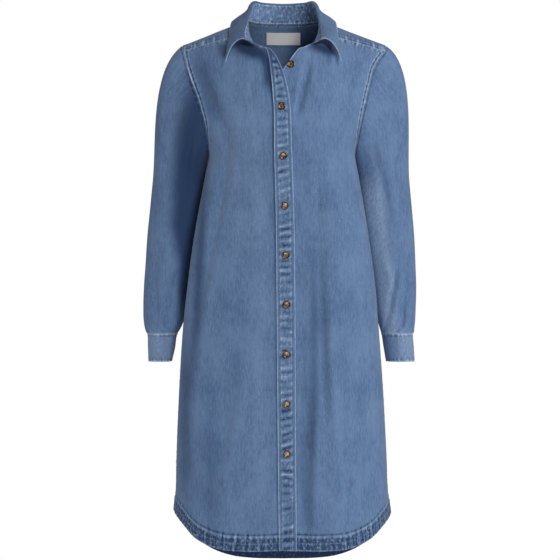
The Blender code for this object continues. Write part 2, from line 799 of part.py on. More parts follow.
def make_back(material):
    upper = BACK_ROWS["level"][:-1]
    levels = np.sort(np.concatenate((upper, BACK_EXTRA_LEVELS, skirt_levels())))[:, None]
    angles = np.linspace(0, QUARTER, BACK_COLUMNS)
    skins = []
    for lift, amount in ((hem_rise(levels), OUTER_INSET), (-CLOTH, INNER_INSET)):
        right = back(RIGHT, levels, angles[::-1], lift)
        left = back(LEFT, levels, angles[1:], lift)
        skins.append(inset(np.concatenate((right, left), axis=1), amount))
    wall("back", *skins, material)


def make_yoke(material):
    around = np.linspace(-1, 1, YOKE_COLUMNS)
    down = np.concatenate(([0], label_downs(), YOKE_LOWER_DOWNS))[:, None]
    outer, inner = yoke(around, down), yoke(around, down, -CLOTH)
    wall("yoke", inset(outer, OUTER_INSET), inset(inner, INNER_INSET), material)


def make_sleeve(side, material):
    angles = np.linspace(0, 4 * QUARTER, ARM_COLUMNS + 1)[:-1]
    stages = np.concatenate((np.array(CAP_STAGES), np.linspace(1, 2, ARM_ROWS)[1:]))[:, None]
    outer = inset(arm(side, stages, angles), OUTER_INSET, ring=True)
    amounts = INNER_INSET + (UNDERARM_INSET - INNER_INSET) * ((1 - np.cos(angles)) / 2) ** 2
    inner = inset(arm(side, stages, angles, -CLOTH), amounts[:, None], ring=True)
    wall(f"sleeve_{side_name(side)}", outer, inner, material, ring=True)


def make_sleeve_placket(side, material):
    angles = np.radians(np.linspace(SLIT_FROM, SLIT_TO, 4))
    stages = np.linspace(stage_at(SLIT_TOP_HEIGHT), 1.99, 6)[:, None]
    outer = arm(side, stages, angles, SEAM_GAP + FOLDED_CLOTH)
    wall(f"sleeve_placket_{side_name(side)}", outer, arm(side, stages, angles, SEAM_GAP * 2), material)


def make_cuff(side, material):
    wind = np.linspace(0, 1, CUFF_COLUMNS)
    down = np.linspace(0, 1, 3)[:, None]
    outer, inner = cuff(side, down, wind), cuff(side, down, wind, -FOLDED_CLOTH)
    wall(f"cuff_{side_name(side)}", outer, inner, material)


def make_collar(material):
    yoke_part = np.linspace(-1, 1, YOKE_COLUMNS) * YOKE_SEAM_AROUND
    ends = np.array(NECK_STEPS)
    around = np.concatenate((-ends[::-1], yoke_part, ends))
    up = np.linspace(0, 1, 4)[:, None]
    lower = SEAM_GAP / np.linalg.norm(collar_line("roll", 0.0) - collar_line("seam", 0.0))
    up = lower + (1 - lower) * up
    wall("collar_stand", stand(around, up), stand(around, up, -FOLDED_CLOTH), material)
    over = np.array(FALL_STEPS)[:, None]
    wall("collar", fall(around, over), fall(around, over, -FOLDED_CLOTH), material)


def label_downs():
    """How far down the yoke the label's top and bottom are."""
    downs = np.linspace(0, 0.6, 201)
    middle = yoke(np.zeros(downs.shape), downs)
    return np.interp((-LABEL_TOP, -LABEL_BOTTOM), -middle[:, 2], downs)


def make_label(material):
    """The blank woven label, flat on the yoke's inner face below the neck seam."""
    across = np.linspace(-LABEL_WIDTH / 2, LABEL_WIDTH / 2, 9)
    places = np.linspace(-0.5, 0.5, 401)
    around, down = [], []
    for at in label_downs():
        row = yoke(places, np.full(places.shape, at))
        around.append(np.interp(across, row[:, 0], places))
        down.append(np.full(across.shape, at))
    around, down = np.array(around), np.array(down)
    near = CLOTH + LABEL_GAP
    wall("label", yoke(around, down, -near), yoke(around, down, -near - LABEL_TAPE), material)


def button_shape(radius, material):
    """A turned button with a raised rim, standing on its flat back."""
    profile = (
        (0.0, 0.7 * BUTTON_THICKNESS),
        (0.55 * radius, 0.7 * BUTTON_THICKNESS),
        (0.78 * radius, BUTTON_THICKNESS),
        (0.93 * radius, 0.9 * BUTTON_THICKNESS),
        (radius, 0.5 * BUTTON_THICKNESS),
        (0.85 * radius, 0.0),
        (0.0, 0.0),
    )
    mesh = bmesh.new()
    points = [mesh.verts.new((x * MM, 0, z * MM)) for x, z in profile]
    for first, second in zip(points, points[1:]):
        mesh.edges.new((first, second))
    data = bpy.data.meshes.new("button")
    mesh.to_mesh(data)
    mesh.free()
    data.materials.append(material)
    return data


def place_button(name, shape, points, material):
    """A button on a face, given as its place and two more places beside it."""
    place, first, second = (Vector(point) * MM for point in points)
    facing = (first - place).cross(second - place).normalized()
    thing = add_object(name, shape, material)
    thing.location = place
    thing.rotation_euler = facing.to_track_quat("Z", "Y").to_euler()
    screw = thing.modifiers.new("Turn", "SCREW")
    screw.steps = screw.render_steps = BUTTON_STEPS
    screw.use_merge_vertices = True
    screw.merge_threshold = 0.0001


def level_at(side, from_edge, height):
    """The level and angle of a front where it is some distance from its edge, at a height."""
    levels = np.linspace(STAND_END_LEVEL, 2, 400)
    angles = np.array([angles_from_edge(side, level, from_edge) for level in levels])
    heights = front_plain(side, levels, angles)[:, 2]
    level = np.interp(-height, -heights, levels)
    return level, np.interp(level, levels, angles)


def front_button(name, shape, side, from_edge, height, lift, material):
    level, angle = level_at(side, from_edge, height)
    beside = 0.02
    levels = np.array((level, level + beside, level))
    angles = np.array((angle, angle, angle + side * beside))
    place_button(name, shape, front(side, levels, angles, lift), material)


def make_buttons(material):
    shape = button_shape(BUTTON_RADIUS, material)
    loose_edge = np.interp(-LOOSE_BUTTON_HEIGHT, -FRONT_ROWS["left_height"], FRONT_ROWS["left_across"])
    from_edge = LOOSE_BUTTON_ACROSS - loose_edge
    front_button("button_1", shape, LEFT, from_edge, LOOSE_BUTTON_HEIGHT, BUTTON_STANDOFF, material)
    on_band = SEAM_GAP + FOLDED_CLOTH + BUTTON_STANDOFF
    for count in range(FASTENED_BUTTONS):
        height = FIRST_FASTENED_HEIGHT - count * BUTTON_PITCH
        front_button(f"button_{count + 2}", shape, RIGHT, BAND_WIDTH / 2, height, on_band, material)

    small = button_shape(CUFF_BUTTON_RADIUS, material)
    around, up = np.array((0.93, 0.93, 0.94)), np.array((0.62, 0.67, 0.62))
    place_button("button_stand", small, stand(around, up, SMALL_BUTTON_LIFT), material)
    turn = 360 + CUFF_BUTTON_TURN - CUFF_LAP_FROM
    wind = turn / (360 + CUFF_LAP_TO - CUFF_LAP_FROM)
    for side in (RIGHT, LEFT):
        winds = np.array((wind, wind, wind - side * 0.01))
        places = cuff(side, np.array((0.5, 0.6, 0.5)), winds, SMALL_BUTTON_LIFT)
        place_button(f"button_cuff_{side_name(side)}", small, places, material)


def main():
    for thing in list(bpy.data.objects):
        bpy.data.objects.remove(thing)
    bpy.context.scene.collection.children.link(bpy.data.collections.new(COLLECTION))
    denim = make_material("denim", (0.127, 0.205, 0.376), 0.85)
    horn = make_material("tortoise_resin", (0.11, 0.045, 0.02), 0.3)
    tape = make_material("label_tape", (0.78, 0.75, 0.76), 0.7)
    for side in (RIGHT, LEFT):
        make_front(side, denim)
        make_sleeve(side, denim)
        make_sleeve_placket(side, denim)
        make_cuff(side, denim)
    make_placket(denim)
    make_back(denim)
    make_yoke(denim)
    make_collar(denim)
    make_label(tape)
    make_buttons(horn)


main()
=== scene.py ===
"""The looks of the denim shirt dress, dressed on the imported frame.

Its pieces are drawn with the same surface functions as the solids, with creases, puckers,
topstitching and weave added. Tables are in millimetres in the frame of the part: +Z up, the
front faces -Y, the wearer's right is -X. In the tables "right" and "left" are the wearer's, as
distances from the middle; "front" and "back" are distances before and behind the origin.
"""

import math

import bmesh
import bpy
import numpy as np
from mathutils import Matrix, Vector


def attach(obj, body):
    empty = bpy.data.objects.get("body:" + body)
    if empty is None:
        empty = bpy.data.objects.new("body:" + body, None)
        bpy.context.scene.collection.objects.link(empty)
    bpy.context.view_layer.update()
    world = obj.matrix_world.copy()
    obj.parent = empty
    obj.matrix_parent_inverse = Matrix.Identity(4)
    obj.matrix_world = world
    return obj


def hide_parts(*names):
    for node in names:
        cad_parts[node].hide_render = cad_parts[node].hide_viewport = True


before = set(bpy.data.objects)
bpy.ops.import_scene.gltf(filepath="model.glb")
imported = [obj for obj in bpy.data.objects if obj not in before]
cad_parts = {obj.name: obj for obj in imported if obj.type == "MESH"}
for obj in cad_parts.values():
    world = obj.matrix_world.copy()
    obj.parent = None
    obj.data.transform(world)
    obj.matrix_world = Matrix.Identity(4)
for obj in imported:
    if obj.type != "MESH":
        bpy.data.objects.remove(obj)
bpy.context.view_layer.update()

# How finely the faces are divided
FRONT_UPPER_ROWS, FRONT_LOWER_ROWS, HEM_ROWS = 80, 170, 18
BAND_CELLS, FRONT_CELLS = 10, 84
BACK_UPPER_ROWS, BACK_LOWER_ROWS, BACK_CELLS = 46, 160, 74
YOKE_CELLS, YOKE_ROWS = 70, 46
CAP_ROWS, LOWER_ARM_ROWS, ARM_CELLS = 64, 110, 100
PLACKET_UPPER_ROWS, PLACKET_LOWER_ROWS, PLACKET_CELLS = 100, 190, 14
CUFF_CELLS, CUFF_ROWS = 150, 34
STAND_CELLS, STAND_ROWS = 180, 24
FALL_CELLS, FALL_ROWS = 190, 46
SLIT_CELLS, SLIT_ROWS = 14, 50
LABEL_CELLS, LABEL_ROWS = 40, 15
# The step between the lower rows and the hem's, in levels
HEM_STEP = 0.005

# How thick the shells are
SHELL, BAND_SHELL, LABEL_SHELL = 0.9, 1.6, 0.6

# Metres in a millimetre
MM = 0.001

# Cloth walls and the clearance at seams
CLOTH = 1.4
FOLDED_CLOTH = 2.0
SEAM_GAP = 0.3
ARM_SEAM_GAP = 0.7
LABEL_TAPE = 1.0
LABEL_GAP = 0.5
LABEL_WIDTH = 67.0
LABEL_TOP, LABEL_BOTTOM = -2.0, -25.0

# Closure
BAND_WIDTH = 33.0
UNDERLAP_DROP = 1.9
HEM_DROP_MORE = 0.4
BUTTON_RADIUS = 7.4
CUFF_BUTTON_RADIUS = 6.0
BUTTON_THICKNESS = 2.6
BUTTON_STANDOFF = 0.45
SMALL_BUTTON_LIFT = 1.0
BUTTON_PITCH = 92.4
FIRST_FASTENED_HEIGHT = -162.0
FASTENED_BUTTONS = 8
LOOSE_BUTTON_ACROSS, LOOSE_BUTTON_HEIGHT = 14.0, -81.5

# Levels and heights
HEM_LEVEL = -985.0
HEM_BAND_FROM = 1.962
HEM_BAND_RISE = 0.8
ARM_RING_HEIGHT = -300.0
CUFF_SEAM_HEIGHT = -588.0
CUFF_HEM_HEIGHT = -642.0

# The cuffs' lap and the sleeve plackets, as degrees round the arm (0 outer, 90 front, 270 back)
CUFF_LAP_FROM, CUFF_LAP_TO = 298.0, 326.0
CUFF_BUTTON_TURN = 312.0
SLIT_FROM, SLIT_TO = 290.0, 317.0
SLIT_TOP_HEIGHT = -470.0

# The yoke: its crown over the shoulder, and where round it its back corners lie
YOKE_CROWN = 8.0
YOKE_CORNER = 0.5
CORNER_STEPS = (-0.16, -0.08, 0.0, 0.08, 0.16)

# The collar fall: the radius that it turns over the stand with, and how far it runs straight
TURN_RADIUS = 3.85
TURN_SHARE = 0.4
STRAIGHT_BACK, STRAIGHT_FRONT = 10.0, 13.0
FALL_GAP = 0.9

# How square the rows are: 2 is an ellipse
FRONT_TOP_POWER = 1.6
HEM_POWER = 2.4


RIGHT = -1
LEFT = 1
QUARTER = math.pi / 2
NORMAL_STEP = 0.004
PLACE = ("across", "back", "height")


def table(columns, rows):
    """A table as one array for each column, with the rows in rising order of the first."""
    ordered = sorted(rows)
    return {name: np.array([row[i] for row in ordered], float) for i, name in enumerate(columns)}


def mirrored(source):
    """The table of one side carried over the middle: its first column and what lies across
    change sign there."""
    both = {}
    for place, (name, values) in enumerate(source.items()):
        sign = -1 if place == 0 or name.endswith("across") else 1
        both[name] = np.concatenate((sign * values[:0:-1], values))
    return both


# Half widths of the body and how far back the side seam lies, from the underarm to the hem
SIDES = table(
    ("height", "right", "left", "seam"),
    (
        (-257, 145, 138, -2),
        (-300, 152, 145, -20),
        (-350, 161, 153.5, -32),
        (-430, 174, 166, -36),
        (-500, 183, 175, -34),
        (-560, 190, 180, -28),
        (-620, 195, 185, -18),
        (-720, 201, 192, -8),
        (-830, 205.5, 198, -2),
        (-890, 207, 200.5, 0),
        (-925, 210, 205, 0),
        (-1040, 213, 208, 0),
    ),
)

# How far the cloth stands before and behind the origin, at the middle
DEPTHS = table(
    ("height", "front", "back"),
    (
        (12.5, 60, 62),
        (-43, 86, 90),
        (-98, 101, 105),
        (-140, 111, 110),
        (-180, 118, 112),
        (-235, 123, 111),
        (-330, 120, 105),
        (-430, 117, 101),
        (-540, 121, 106),
        (-620, 125, 112),
        (-720, 129, 118),
        (-850, 133, 124),
        (-990, 136, 129),
        (-1040, 137, 131),
    ),
)

# The closure's middle leans a little to the wearer's left on its way down
CLOSURE = table(("height", "across"), ((0, -3), (-160, -2), (-350, 3), (-820, 6.5), (-1000, 8)))

# The neck seam, the collar's roll, the fall's guide line and its outer edge, from the middle of
# the back (around 0) past the high shoulder point (0.55) to the front end (1)
COLLAR_LINES = mirrored(
    table(
        (
            "around",
            "seam_across", "seam_back", "seam_height",
            "roll_across", "roll_back", "roll_height",
            "guide_across", "guide_back", "guide_height",
            "edge_across", "edge_back", "edge_height",
        ),
        (
            (0.00, 0, 62, 12.5, 0, 66, 49, 0, 76, 32, 0, 82, 2),
            (0.20, 38, 53, 12.5, 39, 57, 50, 46, 66, 33, 54, 74, 2),
            (0.40, 62, 30, 13, 56, 34, 49.5, 71, 41, 34, 86, 46, 8),
            (0.55, 69, 6, 12, 63, 9, 37.5, 77, 9, 31, 97, 8, 13),
            (0.70, 69, -20, 1, 67.5, -18, 17, 88, -25, 16, 102, -28, -2),
            (0.78, 67, -42, -14, 70, -34, 3, 95, -46, 2, 104, -50, -23),
            (0.86, 62.5, -60, -29, 73, -54, -11, 101, -69, -16, 106.5, -71, -42),
            (0.93, 54, -76, -43, 74, -70, -24, 103, -84, -31, 108, -84, -60),
            (1.00, 40, -86, -48, 72, -82, -34, 103, -96, -45, 109, -95, -75.5),
        ),
    )
)
YOKE_SEAM_AROUND = 0.78

# The armhole, once round from the tip of the shoulder over the front to the underarm (8) and
# up the back
ARMHOLE = table(
    ("turn", "right", "left", "back", "height"),
    (
        (-1, 191, 192, 27, -54),
        (0, 194, 196, 2, -36),
        (1, 190, 192, -30, -49),
        (2, 182, 172, -43, -80),
        (3, 171, 162, -54, -115),
        (4, 158, 153, -61.5, -152),
        (5, 148, 145, -63, -190),
        (6, 143.5, 139, -52, -224),
        (7, 142.5, 136, -29, -247),
        (8, 145, 138, -2, -257),
        (9, 141.5, 134.5, 28, -247),
        (10, 143, 137, 54, -215),
        (11, 151, 146, 68, -172),
        (12, 166, 162, 70, -130),
        (13, 181, 179, 55, -88),
        (14, 191, 192, 27, -54),
        (15, 194, 196, 2, -36),
        (16, 190, 192, -30, -49),
        (17, 182, 172, -43, -80),
    ),
)
UNDERARM_TURN = 8.0
UNDERARM_BACK = -2.0
BACK_SEAM_TURN = 13.0
TURNS = 15.0

# Front rows from the yoke seam (level 0) to the underarm (level 1): where the front edge is on
# each side, and which turn of the armhole the row ends on. The row past 1 steadies the slope.
FRONT_ROWS = table(
    (
        "level",
        "right_across", "right_back", "right_height",
        "left_across", "left_back", "left_height",
        "turn",
    ),
    (
        (0.00, -67, -42, -14, 67, -42, -14, 1.0),
        (0.15, -62.5, -60, -29, 62.5, -60, -29, 1.45),
        (0.30, -54, -76, -43, 54, -76, -43, 1.95),
        (0.42, -40, -86, -48, 40, -86, -48, 2.35),
        (0.48, -28, -91, -51.5, 28, -90, -52, 2.6),
        (0.54, -16, -97, -63, 19, -94.5, -63, 2.9),
        (0.62, -3, -103, -89, 0, -99.5, -90, 3.4),
        (0.72, 5, -108, -115, -11, -105.3, -115, 4.1),
        (0.80, 10.5, -112, -142, -15, -109.8, -142, 4.9),
        (0.88, 13.5, -116, -172, -18, -114, -172, 5.8),
        (0.94, 14.5, -120.5, -206, -18.5, -118.6, -206, 6.8),
        (1.00, 15.5, -123, -240, -18, -121.1, -240, 8.0),
        (1.06, 16, -123, -270, -17.5, -121.1, -270, 8.0),
    ),
)
STAND_END_LEVEL = 0.42
PLACKET_TOP_LEVEL = 0.45

# How wide the buttonhole band shows: it narrows where the edge rolls back at the neck opening
BANDS = table(
    ("level", "width"),
    ((0, 12), (0.3, 7), (0.42, 4), (0.48, 5), (0.54, 12.5), (0.62, 22), (0.72, 27), (0.8, 30.5),
     (0.88, 31.5), (1, 33), (2, 33)),
)

# Back rows from the yoke seam to the underarm
BACK_ROWS = table(
    ("level", "back", "height", "turn"),
    (
        (0.00, 104, -91, 13.0),
        (0.20, 108, -118, 12.3),
        (0.40, 110.5, -148, 11.5),
        (0.60, 112, -176, 10.7),
        (0.80, 112, -206, 9.8),
        (0.92, 111.5, -226, 8.9),
        (1.00, 111, -240, 8.0),
        (1.08, 110, -262, 8.0),
    ),
)

# Height of the shirt-tail hems by distance from the middle
FRONT_HEM = table(
    ("across", "height"),
    ((0, -988), (80, -990), (120, -987), (149, -978), (170, -966), (190, -947), (213, -925)),
)
BACK_HEM = table(
    ("across", "height"),
    ((0, -1038), (66, -1036), (95, -1032), (116, -1026), (142, -1014), (160, -1001),
     (176, -983), (195, -952), (213, -925)),
)

# The arm below the cap: how far its outer and inner sides are from the middle
ARM = table(
    ("height", "right_outer", "right_inner", "left_outer", "left_inner", "back", "half_depth"),
    (
        (-300, 253, 148, 244, 141, 30, 58),
        (-350, 258, 153, 248.5, 146, 31, 56),
        (-404, 263, 160, 252.5, 153, 31, 54),
        (-455, 266, 169, 254.5, 162, 30, 52),
        (-500, 269, 179, 256, 171, 27, 50),
        (-540, 270, 187, 255, 177, 23, 49),
        (-565, 269, 192.5, 253.5, 182, 20, 49),
        (-578, 266.5, 198, 252, 185.5, 18, 48),
        (-588, 263.5, 204, 250.5, 188.5, 16, 46),
        (-615, 262, 209, 252, 193, 15, 44.5),
        (-642, 261, 215, 253.5, 197.5, 14, 43),
    ),
)

# The largest soft folds of the body, as lines across and down each face. A negative rise is a
# trough.
FOLD_COLUMNS = ("from_across", "from_height", "to_across", "to_height", "width", "rise")
FRONT_FOLDS = (
    (-100, -255, -156, -531, 15, -6),
    (-158, -100, -115, -206, 16, -5),
    (44, -85, 28, -165, 9, -4),
    (136, -72, 124, -128, 11, -3),
    (68, -470, 76, -720, 14, -5),
    (46, -740, 42, -940, 13, -4),
    (-88, -630, -133, -900, 17, -6),
    (-42, -285, -22, -385, 8, -2),
    (-85, -170, -85, -260, 45, 5),
    (88, -170, 95, -350, 45, 5),
)
BACK_FOLDS = (
    (-78, -150, -112, -520, 20, -6),
    (84, -180, 104, -480, 18, -5),
    (-30, -420, -46, -900, 20, -5),
    (60, -520, 96, -960, 20, -6),
    (-120, -640, -150, -980, 16, -4),
    (10, -130, 4, -330, 26, -3),
)
# Folds of the arms: turn round the arm in degrees (0 outer, 90 front, 270 back) and height
RIGHT_ARM_FOLDS = (
    (48, -110, 62, -330, 16, -4),
    (78, -330, 50, -520, 15, -4),
    (255, -330, 285, -520, 18, -4),
)
LEFT_ARM_FOLDS = (
    (52, -120, 70, -300, 14, -3),
    (40, -440, 88, -575, 14, -5),
    (290, -300, 262, -500, 18, -4),
)


def smooth(knots, values, at):
    """A smooth curve through values at rising knots, and straight on past either end."""
    slopes = np.gradient(values, knots)
    at = np.asarray(at, float)
    start = np.clip(np.searchsorted(knots, at) - 1, 0, len(knots) - 2)
    span = knots[start + 1] - knots[start]
    whole = (at - knots[start]) / span
    t = np.clip(whole, 0, 1)
    past = (whole - t) * span
    rise = values[start + 1] - values[start]
    first, last = slopes[start] * span, slopes[start + 1] * span
    bend = ((first + last - 2 * rise) * t + 3 * rise - 2 * first - last) * t + first
    end_slope = np.where(past < 0, slopes[start], slopes[start + 1])
    return values[start] + bend * t + past * end_slope


def read(source, column, at):
    """A table's column at any value of its first column."""
    knots = next(iter(source.values()))
    return smooth(knots, source[column], at)


def ease(low, high, at):
    """0 below low, 1 above high, and a smooth rise between."""
    t = np.clip((at - low) / (high - low), 0, 1)
    return t * t * (3 - 2 * t)


def stack(x, y, z):
    return np.stack(np.broadcast_arrays(x, y, z), axis=-1)


def fold_rise(folds, first, second):
    """The height of all folds at a place, each a soft ridge or trough along its line."""
    total = np.zeros(np.broadcast(first, second).shape)
    for row in folds:
        fold = dict(zip(FOLD_COLUMNS, row))
        run = np.array((fold["to_across"] - fold["from_across"], fold["to_height"] - fold["from_height"]))
        length = np.hypot(*run)
        from_first, from_second = first - fold["from_across"], second - fold["from_height"]
        along = (from_first * run[0] + from_second * run[1]) / length
        aside = (from_first * run[1] - from_second * run[0]) / length
        taper = 0.3 * length
        ends = ease(-taper, taper, along) * ease(-taper, taper, length - along)
        total = total + fold["rise"] * ends * np.exp(-((aside / fold["width"]) ** 2))
    return total


def side_name(side):
    return "right" if side == RIGHT else "left"


def armhole(side, turn):
    """A point of the armhole seam. Turn 8 is the underarm."""
    across = side * read(ARMHOLE, side_name(side), turn)
    return stack(across, read(ARMHOLE, "back", turn), read(ARMHOLE, "height", turn))


def rounded_row(inner, outer, angle, power, flat=0.0, turning_back=None):
    """A row from the middle (angle 0) to the side (a quarter turn): after a flat strip, a part
    of the superellipse that would turn straight back at turning_back."""
    turning_back = outer[..., 1] if turning_back is None else turning_back
    depth = inner[..., 1] - turning_back
    reach = np.sin(angle) ** (2 / power)
    share = flat / np.abs(outer[..., 0] - inner[..., 0])
    bent = np.clip((reach - share) / (1 - share), 0, 1)
    end_fade = np.clip((outer[..., 1] - turning_back) / depth, 0, 1)
    end_reach = (1 - end_fade**power) ** (1 / power)
    fade = np.clip(1 - (bent * end_reach) ** power, 0, 1) ** (1 / power)
    across = inner[..., 0] + (outer[..., 0] - inner[..., 0]) * reach
    height = inner[..., 2] + (outer[..., 2] - inner[..., 2]) * bent
    return stack(across, turning_back + depth * fade, height)


def side_seam(side, height):
    return stack(side * read(SIDES, side_name(side), height), read(SIDES, "seam", height), height)


def closure(height):
    return read(CLOSURE, "across", height)


def skirt_heights(top, hem, across_at_hem, down):
    """Heights on the way from the underarm row (down 0) to the hem (down 1)."""
    return top + (read(hem, "height", np.abs(across_at_hem)) - top) * down


def skirt_power(height):
    """How square the body's section is: rounder at the chest than at the hem."""
    return 2.1 + 0.3 * ease(-300, -700, height)


def one_body(rows, skirt, level, angle):
    """The rows above the underarm, carried on below it by the skirt with no step between."""
    underarm = rows(np.ones(np.shape(angle)), angle)
    upper = rows(np.clip(level, 0, 1), angle)
    lower = skirt(np.clip(level - 1, 0, 1), angle, underarm)
    step = underarm - skirt(np.zeros(np.shape(angle)), angle, underarm)
    carried = lower + step * (1 - ease(1.0, 1.2, level))[..., None]
    return np.where((level <= 1)[..., None], upper, carried)


def front_plain(side, level, angle):
    """A front without folds. Level 0 is the yoke seam, 1 the underarm and 2 the hem."""
    name = side_name(side)
    edge = -side * BAND_WIDTH / 2
    drop = UNDERLAP_DROP if side == LEFT else 0.0

    def rows(at, turn):
        inner = stack(*(read(FRONT_ROWS, f"{name}_{part}", at) for part in PLACE))
        outer = armhole(side, read(FRONT_ROWS, "turn", at))
        power = FRONT_TOP_POWER + 0.5 * ease(0, 0.6, at)
        flat = BAND_WIDTH * ease(0.42, 0.8, at)
        return rounded_row(inner, outer, turn, power, flat, UNDERARM_BACK)

    def skirt(down, turn, underarm):
        hem_edge = closure(HEM_LEVEL) + edge
        hem_side = side * read(SIDES, name, HEM_LEVEL)
        across_at_hem = hem_edge + (hem_side - hem_edge) * np.sin(turn) ** (2 / HEM_POWER)
        height = skirt_heights(underarm[..., 2], FRONT_HEM, across_at_hem, down)
        deeper = drop * (1 + HEM_DROP_MORE * ease(0.88, 0.94, down))
        middle = stack(closure(height) + edge, deeper - read(DEPTHS, "front", height), height)
        return rounded_row(middle, side_seam(side, height), turn, skirt_power(height), BAND_WIDTH)

    return one_body(rows, skirt, level, angle)


def back_plain(side, level, angle):
    """Half of the back without folds, from its middle (angle 0) to one side."""
    name = side_name(side)

    def rows(at, turn):
        inner = stack(0.0, read(BACK_ROWS, "back", at), read(BACK_ROWS, "height", at))
        outer = armhole(side, read(BACK_ROWS, "turn", at))
        power = 1.9 + 0.2 * ease(0, 0.6, at)
        return rounded_row(inner, outer, turn, power, turning_back=UNDERARM_BACK)

    def skirt(down, turn, underarm):
        across_at_hem = read(SIDES, name, HEM_LEVEL) * np.sin(turn) ** (2 / HEM_POWER)
        height = skirt_heights(underarm[..., 2], BACK_HEM, across_at_hem, down)
        middle = stack(0.0, read(DEPTHS, "back", height), height)
        return rounded_row(middle, side_seam(side, height), turn, skirt_power(height))

    return one_body(rows, skirt, level, angle)


def outward(surface, first, second, sign):
    """Unit normals of a surface of two numbers."""
    along = surface(first + NORMAL_STEP, second) - surface(first - NORMAL_STEP, second)
    across = surface(first, second + NORMAL_STEP) - surface(first, second - NORMAL_STEP)
    normal = np.cross(along, across)
    return sign * normal / np.linalg.norm(normal, axis=-1, keepdims=True)


def arrays(*values):
    return np.broadcast_arrays(*(np.asarray(value, float) for value in values))


def body_face(plain, folds, sign, level, angle, lift):
    """A panel's face: its plain form, then its folds and a lift, both along the plain normals."""
    level, angle, lift = arrays(level, angle, lift)

    def surface(at, turn):
        return plain(np.clip(at, 0, 2), np.clip(turn, 0, QUARTER))

    points = surface(level, angle)
    steady_level = np.clip(level, NORMAL_STEP, 2 - NORMAL_STEP)
    steady_angle = np.clip(angle, 3 * NORMAL_STEP, QUARTER - 3 * NORMAL_STEP)
    normal = outward(surface, steady_level, steady_angle, sign)
    away_from_seams = ease(0, 0.2, level) * ease(0, 0.18, QUARTER - angle)
    rise = lift + away_from_seams * fold_rise(folds, points[..., 0], points[..., 2])
    return points + normal * rise[..., None]


def front(side, level, angle, lift=0.0):
    return body_face(lambda at, turn: front_plain(side, at, turn), FRONT_FOLDS, side, level, angle, lift)


def back(side, level, angle, lift=0.0):
    return body_face(lambda at, turn: back_plain(side, at, turn), BACK_FOLDS, -side, level, angle, lift)


def band_width(level):
    return read(BANDS, "width", level)


def hem_rise(level):
    """The folded hem stands a little proud of the cloth above it."""
    return np.where(np.asarray(level) > HEM_BAND_FROM, HEM_BAND_RISE, 0.0)


def angles_from_edge(side, level, distances):
    """The row angles at some distances from a front's edge."""
    angles = np.linspace(0, QUARTER, 300)
    points = front_plain(side, np.full(angles.shape, level), angles)
    return np.interp(distances, np.abs(points[:, 0] - points[0, 0]), angles)


# Yoke


def yoke_outer(around):
    """The yoke's outer edge: the back seam up to a corner, and then the armhole."""
    reach = np.abs(around)
    back_angle = np.clip(reach / YOKE_CORNER, 0, 1) * QUARTER
    turn = BACK_SEAM_TURN + np.clip((reach - YOKE_CORNER) / (1 - YOKE_CORNER), 0, 1) * 3
    edges = {}
    for side in (RIGHT, LEFT):
        seam = back_plain(side, 0.0 * reach, back_angle)
        edges[side] = np.where((reach < YOKE_CORNER)[..., None], seam, armhole(side, turn))
    return np.where((around < 0)[..., None], edges[RIGHT], edges[LEFT])


def yoke_columns(around, down):
    """Lines from the neck to the yoke's outer edge, before they meet the front seams. Away from
    the edge they aim at a softened corner."""
    reach = np.abs(around)
    neck = collar_line("seam", around * YOKE_SEAM_AROUND)
    outer = yoke_outer(around)
    softened = sum(yoke_outer(np.clip(around + step, -1, 1)) for step in CORNER_STEPS) / len(CORNER_STEPS)
    softened = outer + (softened - outer) * ease(0.95, 0.8, reach)[..., None]
    behind = 1 - ease(0.5, 0.9, reach)
    crown_way = stack(0.0, 0.75 * behind, 1 - 0.35 * behind)
    crown = YOKE_CROWN * 4 * down * (1 - down)
    line = neck + (softened - neck) * down[..., None] + (outer - softened) * (down**4)[..., None]
    return line + crown_way * crown[..., None]


def yoke_plain(around, down):
    """The yoke: around is -1 at the right front seam, 0 at the middle of the back and 1 at the
    left front seam, and down is 0 at the neck and 1 at the outer edge."""
    around, down = arrays(np.clip(around, -1, 1), np.clip(down, 0, 1))
    angle = np.arcsin(down ** (FRONT_TOP_POWER / 2))
    seams = {side: front_plain(side, 0.0 * down, angle) for side in (RIGHT, LEFT)}
    seam = np.where((around < 0)[..., None], seams[RIGHT], seams[LEFT])
    end = np.where(around < 0, -1.0, 1.0)
    shift = (seam - yoke_columns(end, down)) * ease(0.75, 1, np.abs(around))[..., None]
    return yoke_columns(around, down) + shift


def yoke(around, down, lift=0.0):
    around, down, lift = arrays(around, down, lift)
    steady_around = np.clip(around, NORMAL_STEP - 1, 1 - NORMAL_STEP)
    steady_down = np.clip(down, 4 * NORMAL_STEP, 1 - 4 * NORMAL_STEP)
    normal = outward(yoke_plain, steady_around, steady_down, 1)
    return yoke_plain(around, down) + normal * lift[..., None]


# Arms


def arm_ring(side, angle, height):
    """The arm's section at a height, an ellipse: angle 0 is outer and a quarter turn is front."""
    name = side_name(side)
    outer, inner = read(ARM, f"{name}_outer", height), read(ARM, f"{name}_inner", height)
    across = (outer + inner) / 2 + (outer - inner) / 2 * np.cos(angle)
    back_place = read(ARM, "back", height) - read(ARM, "half_depth", height) * np.sin(angle)
    return stack(side * across, back_place, height)


